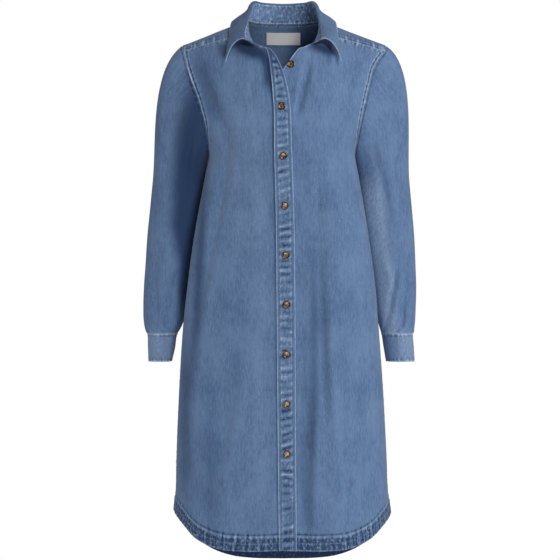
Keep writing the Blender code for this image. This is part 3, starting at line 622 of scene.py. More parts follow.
def arm_plain(side, stage, angle):
    """The sleeve: stage 0 is the armhole, 1 the bottom of its cap and 2 the cuff seam."""
    angle = np.mod(angle, 4 * QUARTER)
    part = angle / (2 * QUARTER)
    turn = np.where(part < 1, part * UNDERARM_TURN, UNDERARM_TURN + (part - 1) * (TURNS - UNDERARM_TURN))
    start = armhole(side, turn)
    end = arm_ring(side, angle, ARM_RING_HEIGHT)
    upper = (1 + np.cos(angle)) / 2
    leave = stack(side * (0.6 + 0.25 * upper), -0.06 * np.sin(angle), 0.42 * upper - 1)
    leave /= np.linalg.norm(leave, axis=-1, keepdims=True)
    start = start + leave * ARM_SEAM_GAP
    reach = np.linalg.norm(end - start, axis=-1, keepdims=True)
    arrive = (arm_ring(side, angle, ARM_RING_HEIGHT - 10) - end) / 10
    t = np.clip(stage, 0, 1)[..., None]
    cap = (
        start * (2 * t**3 - 3 * t**2 + 1)
        + leave * reach * 0.8 * (t**3 - 2 * t**2 + t)
        + end * (3 * t**2 - 2 * t**3)
        + arrive * reach * 0.9 * (t**3 - t**2)
    )
    height = ARM_RING_HEIGHT + (CUFF_SEAM_HEIGHT - ARM_RING_HEIGHT) * np.clip(stage - 1, 0, 2)
    return np.where((stage <= 1)[..., None], cap, arm_ring(side, angle, height))


def arm(side, stage, angle, lift=0.0):
    """The sleeve's face with its folds, lifted by any distance."""
    stage, angle, lift = arrays(stage, angle, lift)
    normal = outward(lambda at, turn: arm_plain(side, at, turn), np.clip(stage, 0.01, 2), angle, -side)
    points = arm_plain(side, stage, angle)
    folds = RIGHT_ARM_FOLDS if side == RIGHT else LEFT_ARM_FOLDS
    fade = ease(0, 0.3, stage) * ease(2.0, 1.9, stage)
    rise = lift + fade * fold_rise(folds, np.degrees(np.mod(angle, 4 * QUARTER)), points[..., 2])
    return points + normal * rise[..., None]


def stage_at(height):
    return 1 + (height - ARM_RING_HEIGHT) / (CUFF_SEAM_HEIGHT - ARM_RING_HEIGHT)


def cuff(side, down, wind, lift=0.0):
    """The cuff's band, wound a little over one turn so that its ends lap."""
    down, wind, lift = arrays(down, wind, lift)
    lap = math.radians(CUFF_LAP_TO - CUFF_LAP_FROM)
    angle = math.radians(CUFF_LAP_FROM) + wind * (4 * QUARTER + lap)
    top = CUFF_SEAM_HEIGHT - SEAM_GAP / 2
    height = top + (CUFF_HEM_HEIGHT - top) * down
    winding = (FOLDED_CLOTH + 2 * SEAM_GAP) * (wind - 0.5)

    def surface(at, turn):
        return arm_ring(side, turn, at)

    normal = outward(surface, height, angle, side)
    return surface(height, angle) + normal * (lift + winding)[..., None]


# Collar


def collar_line(line, around):
    """A point of one of the collar's lines, from the right front end (-1) to the left one (1)."""
    return stack(*(read(COLLAR_LINES, f"{line}_{part}", around) for part in PLACE))


def stand_plain(around, up):
    seam, roll = collar_line("seam", around), collar_line("roll", around)
    return seam + (roll - seam) * np.asarray(up)[..., None]


def collar_face(plain, sign, around, along, lift):
    """One of the collar's surfaces, lifted by any distance."""
    around, along, lift = arrays(around, along, lift)
    normal = outward(plain, np.clip(around, NORMAL_STEP - 1, 1 - NORMAL_STEP), along, sign)
    return plain(around, along) + normal * lift[..., None]


def stand(around, up, lift=0.0):
    """The collar stand's outer face, from the neck seam (up 0) to the roll (up 1)."""
    return collar_face(stand_plain, -1, around, up, lift)


def curve(points, t):
    """A Bezier curve of four points."""
    t = t[..., None]
    weights = ((1 - t) ** 3, 3 * t * (1 - t) ** 2, 3 * t**2 * (1 - t), t**3)
    return sum(weight * point for weight, point in zip(weights, points))


def fall_plain(around, over):
    """The collar fall's visible face: it springs from the stand, turns over and comes down.
    Behind it turns right over, and towards its points it only bends."""
    around, over = arrays(around, over)
    seam, roll = collar_line("seam", around), collar_line("roll", around)
    guide, edge = collar_line("guide", around), collar_line("edge", around)
    upward = (roll - seam) / np.linalg.norm(roll - seam, axis=-1, keepdims=True)
    top = np.ones(around.shape)
    outer_way = stand(around, top, 1.0) - stand(around, top)
    start = roll - outer_way * FOLDED_CLOTH + upward * FALL_GAP

    turned = np.clip(over / TURN_SHARE, 0, 1)[..., None] * 2 * QUARTER
    centre = start + outer_way * TURN_RADIUS
    rolled = centre + TURN_RADIUS * (upward * np.sin(turned) - outer_way * np.cos(turned))
    after = centre + outer_way * TURN_RADIUS
    down = np.clip((over - TURN_SHARE) / (1 - TURN_SHARE), 0, 1)
    dropped = curve((after, after - upward * STRAIGHT_BACK, guide, edge), down)
    behind = np.where((over < TURN_SHARE)[..., None], rolled, dropped)
    before = curve((start, start + upward * STRAIGHT_FRONT, guide, edge), np.clip(over, 0, 1) ** 1.3)
    share = ease(0.5, 0.9, np.abs(around))[..., None]
    return behind + (before - behind) * share


def fall(around, over):
    return collar_face(fall_plain, 1, around, over, 0.0)


def label_downs():
    """How far down the yoke the label's top and bottom are."""
    downs = np.linspace(0, 0.6, 201)
    middle = yoke(np.zeros(downs.shape), downs)
    return np.interp((-LABEL_TOP, -LABEL_BOTTOM), -middle[:, 2], downs)


def level_at(side, from_edge, height):
    """The level and angle of a front where it is some distance from its edge, at a height."""
    levels = np.linspace(STAND_END_LEVEL, 2, 400)
    angles = np.array([angles_from_edge(side, level, from_edge) for level in levels])
    heights = front_plain(side, levels, angles)[:, 2]
    level = np.interp(-height, -heights, levels)
    return level, np.interp(level, levels, angles)


# Dressing the surfaces: arc lengths, normals and small relief

# How far from the edge of a felled seam the cloth is pale again, and dark between
FELLED_WIDTH, FELLED_GROOVE = 7.0, 3.9


def soft_noise(x, y, seed):
    """Smooth noise from -1 to 1, with cells one unit wide."""
    x, y = arrays(x, y)
    left, low = np.floor(x), np.floor(y)
    fx, fy = x - left, y - low
    fx, fy = fx * fx * (3 - 2 * fx), fy * fy * (3 - 2 * fy)

    def corner(i, j):
        value = np.sin(i * 127.1 + j * 311.7 + seed * 74.7) * 43758.5453
        return 2 * (value - np.floor(value)) - 1

    lower = corner(left, low) * (1 - fx) + corner(left + 1, low) * fx
    upper = corner(left, low + 1) * (1 - fx) + corner(left + 1, low + 1) * fx
    return lower * (1 - fy) + upper * fy


def wobble(along, seed):
    """An uneven wave along a seam, with crests 6 to 15 mm apart."""
    slow = 0.65 + 0.35 * np.sin(along / 31.0 + 2.1 * seed)
    waves = ((6.7, 0.30), (9.7, 0.45), (15.3, 0.35))
    total = sum(size * np.sin(2 * math.pi * along / step + seed * (3 + step)) for step, size in waves)
    return slow * total


def pucker(distance, along, reach, size, seed):
    """Small ridges square to a seam, which die away from it and at the very edge."""
    return near(distance, reach, size) * ease(0, 3, distance) * wobble(along, seed)


def groove(distance, place, width, size):
    return -near(distance - place, width, size)


def felled(distance):
    """How worn a felled seam is: pale at its edge and second row, dark in the groove between."""
    edge, row = near(distance, 1.8, 0.8), near(distance - FELLED_WIDTH, 1.6, 0.5)
    return edge - near(distance - FELLED_GROOVE, 1.5, 0.65) + row


def felled_groove(distance):
    return groove(distance, FELLED_GROOVE, 1.5, 0.7)


def arcs(points, axis):
    """Lengths along a grid's lines, from their first points."""
    steps = np.linalg.norm(np.diff(points, axis=axis), axis=-1)
    total = np.cumsum(steps, axis=axis)
    start = np.zeros_like(np.take(total, [0], axis=axis))
    return np.concatenate((start, total), axis=axis)


def grid_normals(points, sign, ring=False):
    if ring:
        across = (np.roll(points, -1, 1) - np.roll(points, 1, 1)) / 2
    else:
        across = np.gradient(points, axis=1)
    down = np.gradient(points, axis=0)
    normal = np.cross(down, across)
    size = np.linalg.norm(normal, axis=-1, keepdims=True)
    return sign * normal / np.maximum(size, 1e-9)


def measured(points, sign, ring=False):
    """A face of cloth as a grid: its points, normals and distances from each border."""
    across = arcs(points, 1)
    down = arcs(points, 0)
    return {
        "points": points,
        "normals": grid_normals(points, sign, ring),
        "left": across,
        "right": across[:, -1:] - across,
        "top": down,
        "bottom": down[-1:] - down,
    }


def raised(face, rise, sign, wear=0.0, ring=False):
    """The face with its relief, which is measured along its normals, and how worn it is, with any painted
    light and shade.
    """
    points = face["points"] + face["normals"] * rise[..., None]
    wear = np.broadcast_to(wear, rise.shape)
    return {**face, "points": points, "normals": grid_normals(points, sign, ring), "wear": wear}


def near(distance, reach, size):
    """A value that is full at a seam or edge and fades away from it."""
    return size * np.exp(-((distance / reach) ** 2))


# Making meshes


def grid_faces(rows, columns, offset, ring):
    across = columns if ring else columns - 1
    r, c = np.meshgrid(np.arange(rows - 1), np.arange(across), indexing="ij")
    d = (c + 1) % columns
    corners = (r * columns + c, r * columns + d, (r + 1) * columns + d, (r + 1) * columns + c)
    return offset + np.stack(corners, axis=-1).reshape(-1, 4)


def rim_faces(line, offset):
    return np.stack((line[:-1], line[1:], line[1:] + offset, line[:-1] + offset), axis=-1)


def new_mesh(name, points, faces):
    mesh = bpy.data.meshes.new(name)
    mesh.from_pydata((points * MM).tolist(), [], np.asarray(faces).tolist())
    mesh.validate()
    return mesh


def linked(name, data):
    """A new object in the scene."""
    made = bpy.data.objects.new(name, data)
    bpy.context.scene.collection.objects.link(made)
    return made


def add_piece(name, mesh, material, node=None, slot="denim"):
    """A piece on the dress's one body, which may take the place of a node."""
    mesh.materials.append(material)
    piece = linked(name, mesh)
    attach(piece, "root")
    if node:
        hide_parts(node)
    return piece


def cloth_maps(face, corners, ring):
    """Where each face's corners lie on the flat cloth, with the warp running up it. On a ring
    the last column closes a full turn on."""
    across, up = face.get("flat", (face["left"], -face["top"]))
    maps = np.stack(np.broadcast_arrays(across, up), axis=-1).reshape(-1, 2)[corners]
    if ring:
        columns = face["left"].shape[1]
        column = corners % columns
        at_close = (column == 0) & (column == columns - 1).any(axis=1, keepdims=True)
        maps[..., 0] += np.where(at_close, ARM_ROUND, 0)
    return maps


def paint(mesh, name, outside, inside):
    """A value at each point, for the cloth's colour."""
    values = np.clip(np.concatenate((outside.ravel(), inside.ravel())), -1, 1)
    mesh.attributes.new(name, "FLOAT", "POINT").data.foreach_set("value", values.astype(np.float32))


def shell(name, face, thickness, material, node, ring=False, slot="denim"):
    """A thin closed shell of cloth below a face. Its map of metres gives the weave its scale."""
    outer = face["points"]
    inner = outer - face["normals"] * thickness
    rows, columns = outer.shape[:2]
    count = rows * columns
    points = np.concatenate((outer.reshape(-1, 3), inner.reshape(-1, 3)))
    index = np.arange(count).reshape(rows, columns)
    closed = np.concatenate((index, index[:, :1]), axis=1) if ring else index
    faces = [
        grid_faces(rows, columns, 0, ring)[:, ::-1],
        grid_faces(rows, columns, count, ring),
        rim_faces(closed[0], count),
        rim_faces(closed[-1], count)[:, ::-1],
    ]
    if not ring:
        faces += [rim_faces(index[:, 0], count)[:, ::-1], rim_faces(index[:, -1], count)]
    faces = np.concatenate(faces)
    first = points[faces[0]]
    facing = np.cross(first[1] - first[0], first[2] - first[0]) @ face["normals"][0, 0]
    if facing < 0:
        faces = faces[:, ::-1]
    mesh = new_mesh(name, points, faces)
    layer = mesh.uv_layers.new(name="cloth")
    maps = cloth_maps(face, faces % count, ring)
    layer.data.foreach_set("uv", (maps * MM).astype(np.float32).ravel())
    paint(mesh, "wear", face["wear"], face.get("inside_wear", face["wear"]))
    seam = np.broadcast_to(face.get("seam", 0.0), (rows, columns))
    paint(mesh, "seam", seam, seam * face.get("inside_seam", 1.0))
    mesh.shade_smooth()
    mesh.set_sharp_from_angle(angle=math.radians(60))
    return add_piece(name, mesh, material, node, slot)


# Sewing

STITCH_PITCH, STITCH_LENGTH, STITCH_WIDTH, STITCH_HEIGHT = 3.4, 2.5, 0.62, 0.4
# How far a row lies from the edge of its seam, and the second row of a felled one
EDGE_ROW, SECOND_ROW = 2.0, 6.5
# The rows of the yoke's back seam, the stand's outside and inside, the cuffs and their slits
YOKE_ROW, STAND_ROW, SLIT_ROW = 1.6, 2.5, 3
STAND_INNER_ROWS = (("top", 2.5), ("top", 6.0), ("bottom", 5.0))
CUFF_BAND_ROWS = (("top", 3), ("bottom", 3), ("bottom", 8))
# How wide the placket shows where its stitches begin
STITCHED_WIDTH = 11
ALL = slice(None)


def sewing_line(face, border, distance, part=ALL):
    """Points and normals a distance from a border, one for each row or column that meets it."""
    along_columns = border in ("top", "bottom")
    reach = face[border].T if along_columns else face[border]
    reach = reach[part]
    line = []
    for source in (face["points"], face["normals"]):
        values = source.transpose(1, 0, 2) if along_columns else source
        values = values[part]
        found = [
            [np.interp(distance, *rising(reach[r], values[r, :, k])) for k in range(3)]
            for r in range(len(reach))
        ]
        line.append(np.array(found))
    return line


def rising(distances, values):
    if distances[0] > distances[-1]:
        return distances[::-1], values[::-1]
    return distances, values


def stitches(name, material, *rows):
    """Rows of single stitches. Each row gives a face, a border, the distance from it, and the
    part of the border that is sewn."""
    points, faces = [], []
    section = ((0, 1), (1, 0.15), (0, -0.5), (-1, 0.15))
    for row in rows:
        path, normals = sewing_line(*row)
        along = arcs(path[:, None], 0)[:, 0]
        for start in np.arange(0.6, along[-1] - STITCH_LENGTH, STITCH_PITCH):
            ends = [start + share * STITCH_LENGTH for share in (0, 0.25, 0.75, 1)]
            places = np.array([[np.interp(end, along, path[:, k]) for k in range(3)] for end in ends])
            up = np.array([np.interp(start, along, normals[:, k]) for k in range(3)])
            way = places[-1] - places[0]
            way = way / max(np.linalg.norm(way), 1e-9)
            side = np.cross(up, way)
            base = len(points)
            for place, full in zip(places, (False, True, True, False)):
                for x, z in section:
                    lift = STITCH_HEIGHT * (0.35 + z * 0.65) if full else -0.1
                    reach = STITCH_WIDTH / 2 * (1.0 if full else 0.45)
                    points.append(place + side * x * reach + up * lift)
            for low in range(base, base + 12, 4):
                for c in range(4):
                    d = (c + 1) % 4
                    faces.append((low + c, low + d, low + 4 + d, low + 4 + c))
            faces.append((base + 3, base + 2, base + 1, base))
            faces.append((base + 12, base + 13, base + 14, base + 15))
    mesh = new_mesh(name, np.array(points), faces)
    mesh.shade_smooth()
    return add_piece(name, mesh, material)


# Faces of the dress, with creases too small for the solids

FRONT_CREASES = (
    (-104, -262, -158, -540, 7, -3.0),
    (-92, -280, -146, -560, 8, 2.0),
    (-148, -110, -108, -215, 9, -3.0),
    (47, -88, 27, -168, 6, -3.0),
    (33, -90, 16, -160, 6, 2.0),
    (68, -480, 78, -730, 7, -3.2),
    (84, -500, 94, -740, 9, 2.4),
    (47, -745, 42, -950, 7, -3.0),
    (-88, -640, -134, -895, 8, -3.2),
    (-70, -650, -116, -900, 9, 2.0),
    (134, -76, 122, -132, 6, -2.2),
    (-103, -190, -120, -330, 7, -2.2),
    (-128, -360, -142, -520, 8, 2.2),
    (-60, -120, -48, -230, 9, -1.6),
    (-72, -90, -66, -190, 7, 1.3),
    (34, -100, 22, -190, 5, -1.8),
    (24, -120, 18, -200, 5, 1.4),
    (62, -250, 72, -470, 9, -1.8),
    (100, -330, 112, -560, 10, 1.8),
    (112, -170, 124, -330, 8, -1.8),
    (-40, -400, -36, -640, 10, 1.5),
    (-66, -560, -96, -860, 9, 2.2),
    (-110, -640, -150, -840, 8, -2.0),
    (58, -700, 60, -930, 7, 2.0),
    (104, -620, 118, -900, 10, -2.4),
    (150, -640, 160, -880, 9, 1.8),
    (34, -620, 38, -940, 7, -2.0),
    (-26, -700, -30, -940, 6, -1.2),
)
BACK_CREASES = (
    (-60, -140, -84, -420, 9, -2.0),
    (70, -150, 92, -430, 10, -2.2),
    (-20, -300, -34, -760, 12, 2.0),
    (34, -340, 52, -800, 12, -2.0),
    (-96, -520, -118, -920, 10, -2.2),
    (104, -560, 130, -940, 10, 2.4),
    (-140, -300, -158, -560, 9, 2.0),
    (136, -300, 152, -600, 9, -2.0),
    (0, -700, 6, -1000, 9, -1.8),
)
ARM_CREASES = (
    (20, -150, 34, -380, 8, -1.6),
    (70, -180, 90, -300, 8, -1.8),
    (100, -260, 70, -420, 8, -1.8),
    (40, -420, 72, -560, 8, -2.0),
    (110, -440, 84, -570, 8, 1.8),
    (330, -200, 318, -460, 9, -1.8),
    (230, -300, 252, -520, 9, 1.8),
    (300, -360, 282, -560, 8, -2.0),
    (180, -330, 196, -500, 9, -1.6),
)
RIGHT_ARM_CREASES = (
    (100, -70, 108, -330, 9, -6.0),
    (76, -90, 84, -300, 9, 3.0),
    (60, -90, 78, -200, 7, -3.0),
    (84, -230, 86, -390, 7, -2.4),
    (66, -300, 70, -430, 8, 2.2),
    (94, -420, 96, -540, 8, 2.4),
    (108, -470, 90, -580, 7, -3.0),
    (60, -500, 78, -582, 6, -2.6),
)
LEFT_ARM_CREASES = (
    (74, -450, 116, -552, 7, -4.0),
    (62, -470, 100, -556, 9, 2.6),
    (44, -390, 58, -500, 7, -2.6),
    (66, -540, 74, -586, 6, -3.4),
    (104, -230, 96, -380, 10, -2.0),
    (76, -250, 74, -400, 9, 2.0),
)
# Painted light on the fronts, and painted shade (negative), along lines as the creases are: shadows
# under the collar leaves and beside the right armhole, the placket's top and the sleeves, and in folds
FRONT_PAINTED_LIGHT_AND_SHADE = (
    (-162, -60, -126, -190, 22, -0.4),
    (-94, -36, -40, -64, 17, -0.85),
    (-118, -34, -112, -68, 12, -0.5),
    (-36, -60, -28, -130, 10, -0.6),
    (-84, -120, -88, -420, 34, 0.14),
    (58, -440, 57, -800, 12, -0.4),
    (34, -740, 37, -960, 14, -0.3),
    (-186, -600, -184, -900, 16, -0.4),
    (-140, -740, -132, -960, 22, -0.3),
    (44, -40, 100, -58, 13, -0.65),
    (-148, -280, -168, -640, 12, -0.5),
    (-46, -180, -44, -900, 16, 0.16),
)
# How wide the turned hem is, and how far the flat sleeve goes round
HEM_BAND = 28.0
ARM_ROUND = 330.0
# Wear runs from -1 (dark) to 1 (pale), and it carries painted light and shade too. How much of it
# the right sleeve's painted shade and the left sleeve's painted light on their inner sides, the cuffs'
# wear, the painted shade on the back's inside and by its hem, the painted shade on the left leaf and
# the stand's end, and the yoke's darker ends gain or lose
PAINTED_SLEEVE_SHADE, PAINTED_SLEEVE_LIGHT = 0.66, 0.4
CUFF_WEAR = 0.3
INSIDE_PAINTED_SHADE, INSIDE_HEM_PAINTED_SHADE = -0.55, -0.25
PAINTED_COLLAR_SHADE, YOKE_SHADE = 0.4, 0.3
# The degrees round the right sleeve at which its painted shade begins, at some depths
SHADE_DEPTHS, SHADE_TURNS = (90, 150, 380, 450, 560), (36, 44, 56, 84, 112)
# How high and how worn the hem's puckers are
HEM_RIPPLE, HEM_WEAR = 1.3, 0.8
# How strong the mottling is
HEM_MARKS, SEAM_MARKS, BAND_MARKS = 0.6, 1.0, 0.8
# How wide the groove at a row of the hem's stitches is
GROOVE = 1.4
# How far from their edges the bands and the placket have their grooves
BAND_ROW, PLACKET_ROW = 4.5, 4.0
# How far apart the placket's rungs of wear are, and how high its face lies over the front's
RUNG_PITCH = 14.0
ON_BAND = SEAM_GAP + FOLDED_CLOTH


def cloth_noise(face, seed, size=1.0):
    """The soft unevenness of cloth that hangs."""
    across, down = face["left"], face["top"]
    broad = 1.1 * soft_noise(across / 58, down / 170, seed)
    fine = 0.35 * soft_noise(across / 21, down / 64, seed + 1)
    crumple = 0.16 * soft_noise(across / 8, down / 13, seed + 2)
    return size * (broad + fine + crumple)


def hem_ripple(face, seed):
    """The puckers of the turned hem, which lean a little across the band."""
    low = face["bottom"]
    inside = ease(HEM_BAND + 10, HEM_BAND - 2, low)
    return inside * wobble(face["left"] + 0.12 * low, seed)


def hem_relief(face):
    """The turned hem stands proud, with two grooves of topstitching."""
    low = face["bottom"]
    relief = groove(low, HEM_BAND, GROOVE, 0.8) + groove(low, HEM_BAND / 2, GROOVE, 0.5)
    return relief + 0.7 * ease(HEM_BAND + 1, HEM_BAND - 1.5, low)


def hem_wear(face):
    """The hem is pale at its fold and stitches, and darker above them and between."""
    low = face["bottom"]
    lines = near(low, 2.0, 0.6) + near(low - HEM_BAND + 2.5, 1.8, 0.55) + near(low - HEM_BAND / 2, 1.6, 0.2)
    return lines - near(low - HEM_BAND - 2.5, 2.0, 0.45) - 0.6 * ease(HEM_BAND, HEM_BAND - 4, low)


def hem_marks(face):
    return HEM_MARKS * ease(HEM_BAND + 3, HEM_BAND - 3, face["bottom"])


def seam_marks(distance):
    return SEAM_MARKS * ease(10, 4, distance)


def body_levels(top, upper_rows, lower_rows):
    """Levels from the top past the underarm (1) to the hem (2), closer together at the hem."""
    upper = np.linspace(top, 1, upper_rows)
    lower = np.linspace(1, HEM_BAND_FROM - 2 * HEM_STEP, lower_rows)[1:]
    return np.concatenate((upper, lower, np.linspace(HEM_BAND_FROM - HEM_STEP, 2.0, HEM_ROWS)))


def band_angles(side, levels, cells):
    """The row angles across the band at each level."""
    return [angles_from_edge(side, at, np.linspace(0, band_width(at), cells + 1)) for at in levels]


def front_face(side):
    """A front with its creases, puckers and grooves."""
    levels = body_levels(0, FRONT_UPPER_ROWS, FRONT_LOWER_ROWS)
    rows = []
    for band in band_angles(side, levels, BAND_CELLS):
        rows.append(np.concatenate((band, np.linspace(band[-1], QUARTER, FRONT_CELLS + 1)[1:])))
    angles = np.array(rows)
    levels = np.broadcast_to(levels[:, None], angles.shape)
    face = measured(front(side, levels, angles), side)
    seed = 3 if side == RIGHT else 8
    x, z = face["points"][..., 0], face["points"][..., 2]
    top, edge, seam = face["top"], face["left"], face["right"]
    in_band = ease(BAND_WIDTH + 6, BAND_WIDTH - 2, edge) * ease(0.5, 0.7, levels)
    calm = ease(0, 0.12, levels) * ease(2, 22, seam) * (1 - 0.85 * in_band)
    at_top = ease(0.3, 0.0, levels)
    on_armhole = ease(0.03, 0.08, levels) * ease(1.04, 0.98, levels)
    side_pucker = pucker(seam, top, 9, 0.9, seed) * ease(0, 0.1, levels)
    top_pucker = pucker(top, edge, 12, 1.2, seed + 1) * at_top
    ripple = hem_ripple(face, seed + 2) * ease(1.0, 1.01, levels)
    rise = calm * (fold_rise(FRONT_CREASES, x, z) + cloth_noise(face, seed))
    rise += (side_pucker + top_pucker + HEM_RIPPLE * ripple + hem_relief(face)) * (1 - 0.8 * in_band)
    rise += on_armhole * felled_groove(seam)
    # The tones are painted shade and painted light along their lines
    wear = 0.5 * side_pucker + top_pucker + HEM_WEAR * ripple + fold_rise(FRONT_PAINTED_LIGHT_AND_SHADE, x, z)
    wear += on_armhole * felled(seam) + at_top * near(top, 2.0, 0.5) + hem_wear(face)
    wear += near(edge, 1.9, 0.9) * ease(0.85, 0.7, levels)
    # Painted shadow of the placket's edge on the right front beside it
    if side == RIGHT:
        wear -= near(edge - band_width(levels) - 1.5, 2.2, 0.7) * ease(0.5, 0.6, levels)
    at_seams = np.maximum(seam_marks(top), 0.35 * on_armhole * seam_marks(seam))
    face["seam"] = np.maximum(at_seams, hem_marks(face) * (1 - in_band))
    face = raised(face, rise, side, wear)
    from_edge = side * (x - face["points"][FRONT_UPPER_ROWS - 1, 0, 0])
    face["flat"] = (from_edge + (edge - from_edge) * ease(0.75, 1, levels), z)
    return face


def back_face():
    levels = body_levels(0, BACK_UPPER_ROWS, BACK_LOWER_ROWS)[:, None]
    angles = np.linspace(0, QUARTER, BACK_CELLS + 1)
    halves = (back(RIGHT, levels, angles[::-1]), back(LEFT, levels, angles[1:]))
    face = measured(np.concatenate(halves, axis=1), -1)
    x, z = face["points"][..., 0], face["points"][..., 2]
    top, edge = face["top"], np.minimum(face["left"], face["right"])
    levels = np.broadcast_to(levels, edge.shape)
    calm = ease(0, 0.1, levels) * ease(2, 24, edge)
    on_armhole = ease(1.04, 0.98, levels)
    puckers = pucker(edge, top, 9, 0.8, 5) * ease(0, 0.1, levels) + pucker(top, face["left"], 8, 0.5, 6)
    ripple = hem_ripple(face, 7)
    rise = calm * (fold_rise(BACK_CREASES, x, z) + cloth_noise(face, 21)) + puckers
    rise += HEM_RIPPLE * ripple + hem_relief(face) + on_armhole * felled_groove(edge)
    wear = puckers + HEM_WEAR * ripple + on_armhole * felled(edge) + near(top, 2, 0.4) + hem_wear(face)
    marks = (0.5 * on_armhole * seam_marks(edge), seam_marks(top), hem_marks(face))
    face["seam"], face["inside_seam"] = np.maximum.reduce(marks), 0.3
    # Painted shade on the back's inside, deeper by its hem, with a little of its wear
    face["inside_wear"] = 0.3 * wear + INSIDE_PAINTED_SHADE + INSIDE_HEM_PAINTED_SHADE * ease(120, 60, face["bottom"])
    from_middle = face["left"] - face["left"][:, BACK_CELLS : BACK_CELLS + 1]
    face["flat"] = (x + (from_middle - x) * ease(0.75, 1, levels), z)
    return raised(face, rise, -1, wear)


def yoke_face():
    around = np.linspace(-1, 1, 2 * YOKE_CELLS + 1)
    down = np.linspace(0, 1, YOKE_ROWS)[:, None]
    face = measured(yoke(around, down), -1)
    top, bottom, across = face["top"], face["bottom"], face["left"]
    edge = np.minimum(across, face["right"])
    inside = ease(0, 10, top) * ease(0, 10, bottom) * ease(0, 10, edge)
    puckers = pucker(bottom, across, 8, 0.6, 9) + pucker(edge, top, 12, 1.3, 10)
    puckers += pucker(top, across, 6, 0.5, 11)
    neck_rows = near(top - 1.0, 1.2, 0.7) - near(top - 3.2, 1.0, 0.6) + near(top - 5.5, 1.2, 0.6)
    wear = puckers + felled(np.minimum(edge, bottom)) + neck_rows - YOKE_SHADE * ease(30, 14, edge)
    x, y, z = (face["points"][..., k] for k in range(3))
    face["flat"] = (1.1 * x, z - y)
    # Painted shade on the yoke's inside towards the wearer's left, with half of its wear
    face["inside_wear"] = 0.5 * wear - 0.45 * ease(-20, 35, x)
    face["seam"] = np.maximum(ease(26, 12, edge), 0.7 * seam_marks(np.minimum(bottom, top)))
    return raised(face, 0.5 * inside * cloth_noise(face, 31) + puckers, -1, wear)


def arm_face(side):
    angles = np.linspace(2 * QUARTER, 6 * QUARTER, ARM_CELLS + 1)[:-1]
    cap, lower = np.linspace(0, 1, CAP_ROWS), np.linspace(1, 2, LOWER_ARM_ROWS)[1:]
    face = measured(arm(side, np.concatenate((cap, lower))[:, None], angles), -side, ring=True)
    seed, own = (41, RIGHT_ARM_CREASES) if side == RIGHT else (47, LEFT_ARM_CREASES)
    top, bottom, across = face["top"], face["bottom"], face["left"]
    z = face["points"][..., 2]
    turn = np.degrees(np.mod(np.broadcast_to(angles, z.shape), 4 * QUARTER))
    from_seam = np.abs(turn - 180)
    off_seam = ease(0, 20, from_seam)
    round_noise = soft_noise(turn / 30, z / 150, seed) * ease(0, 30, from_seam)
    calm = ease(0, 18, top) * ease(0, 12, bottom)
    folds = calm * (fold_rise(ARM_CREASES + own, turn, z) + 1.2 * round_noise)
    puckers = pucker(top, across, 7, 0.6, seed) * off_seam
    gathers = pucker(bottom, across / 1.8, 30, 2.0, seed + 1) * off_seam
    wear = 0.4 * puckers + 0.25 * gathers + near(bottom, 2, 0.4)
    wear += near(top, 2, 0.5) - near(top - 3.5, 2.0, 0.6)
    inner = ease(215, 180, turn)
    # Painted shade down the right sleeve's inner side, where the body shadows it
    if side == RIGHT:
        shade = ease(0, 46, turn - np.interp(-z, SHADE_DEPTHS, SHADE_TURNS))
        wear -= PAINTED_SLEEVE_SHADE * inner * shade * ease(-40, -90, z) * ease(-600, -500, z)
    else:
        # Painted light on the left sleeve's inner front
        wear += PAINTED_SLEEVE_LIGHT * inner * ease(78, 106, turn) * ease(-230, -330, z)
    face["seam"] = 0.2 * seam_marks(top)
    face["flat"] = ((angles / (4 * QUARTER) - 0.5) * ARM_ROUND, 0.4 * z - 0.6 * top)
    return raised(face, folds + puckers + gathers, -side, wear, ring=True)


def band_face(plain, sign, edges, seed, size=1.0):
    """A band of two layers: grooves at its topstitching and puckers between."""
    face = measured(plain, sign)
    edge = np.minimum.reduce([face[border] for border in edges])
    ripple = size * ease(9, 3, edge) * wobble(face["left"] + 0.3 * face["top"], seed)
    rise = groove(edge, BAND_ROW, 1.3, 0.45 * size) + 0.6 * ripple
    rise += 0.3 * size * cloth_noise(face, seed) * ease(0, 6, edge)
    wear = near(edge, 1.9, 0.9) + ripple - near(edge - BAND_ROW, 1.3, 0.3)
    face["seam"] = 0.5 * seam_marks(edge)
    return raised(face, rise, sign, wear)


def placket_face():
    """The buttonhole band, with rungs of wear across it between its two rows of stitches."""
    levels = body_levels(PLACKET_TOP_LEVEL, PLACKET_UPPER_ROWS, PLACKET_LOWER_ROWS)
    angles = np.array(band_angles(RIGHT, levels, PLACKET_CELLS))
    levels = np.broadcast_to(levels[:, None], angles.shape)
    face = measured(front(RIGHT, levels, angles, hem_rise(levels) + ON_BAND), RIGHT)
    down, across = face["top"], face["left"]
    edge, width = np.minimum(across, face["right"]), across + face["right"]
    slant = down + 0.15 * across + 4 * soft_noise(down / 40, across / 30, 16)
    rungs = np.sin(2 * math.pi * slant / RUNG_PITCH) + soft_noise(slant / 5.0, across / 22, 15)
    rungs = 0.7 * rungs * ease(4, 8, edge)
    rise = groove(edge, PLACKET_ROW, 1.2, 0.5) * ease(9, 14, width) + 0.3 * rungs
    rise += 0.5 * ease(9, 2, edge) * wobble(down + 0.2 * across, 13) * ease(4, 12, width)
    rise += 0.25 * soft_noise(down / 34, across / 20, 14)
    rise += 0.7 * (hem_relief(face) + HEM_RIPPLE * hem_ripple(face, 5))
    wear = near(edge, 1.9, 0.95) - near(edge - PLACKET_ROW, 1.3, 0.5) + near(edge - 7.0, 1.8, 0.35)
    # The last term is painted shade on the placket towards its top, under the collar
    wear += 0.55 * rungs - 0.12 + 0.5 * hem_wear(face) - 0.45 * ease(-130, -70, face["points"][..., 2])
    face["seam"] = 0.5 * BAND_MARKS * ease(2, 6, edge)
    return raised(face, rise, RIGHT, wear)


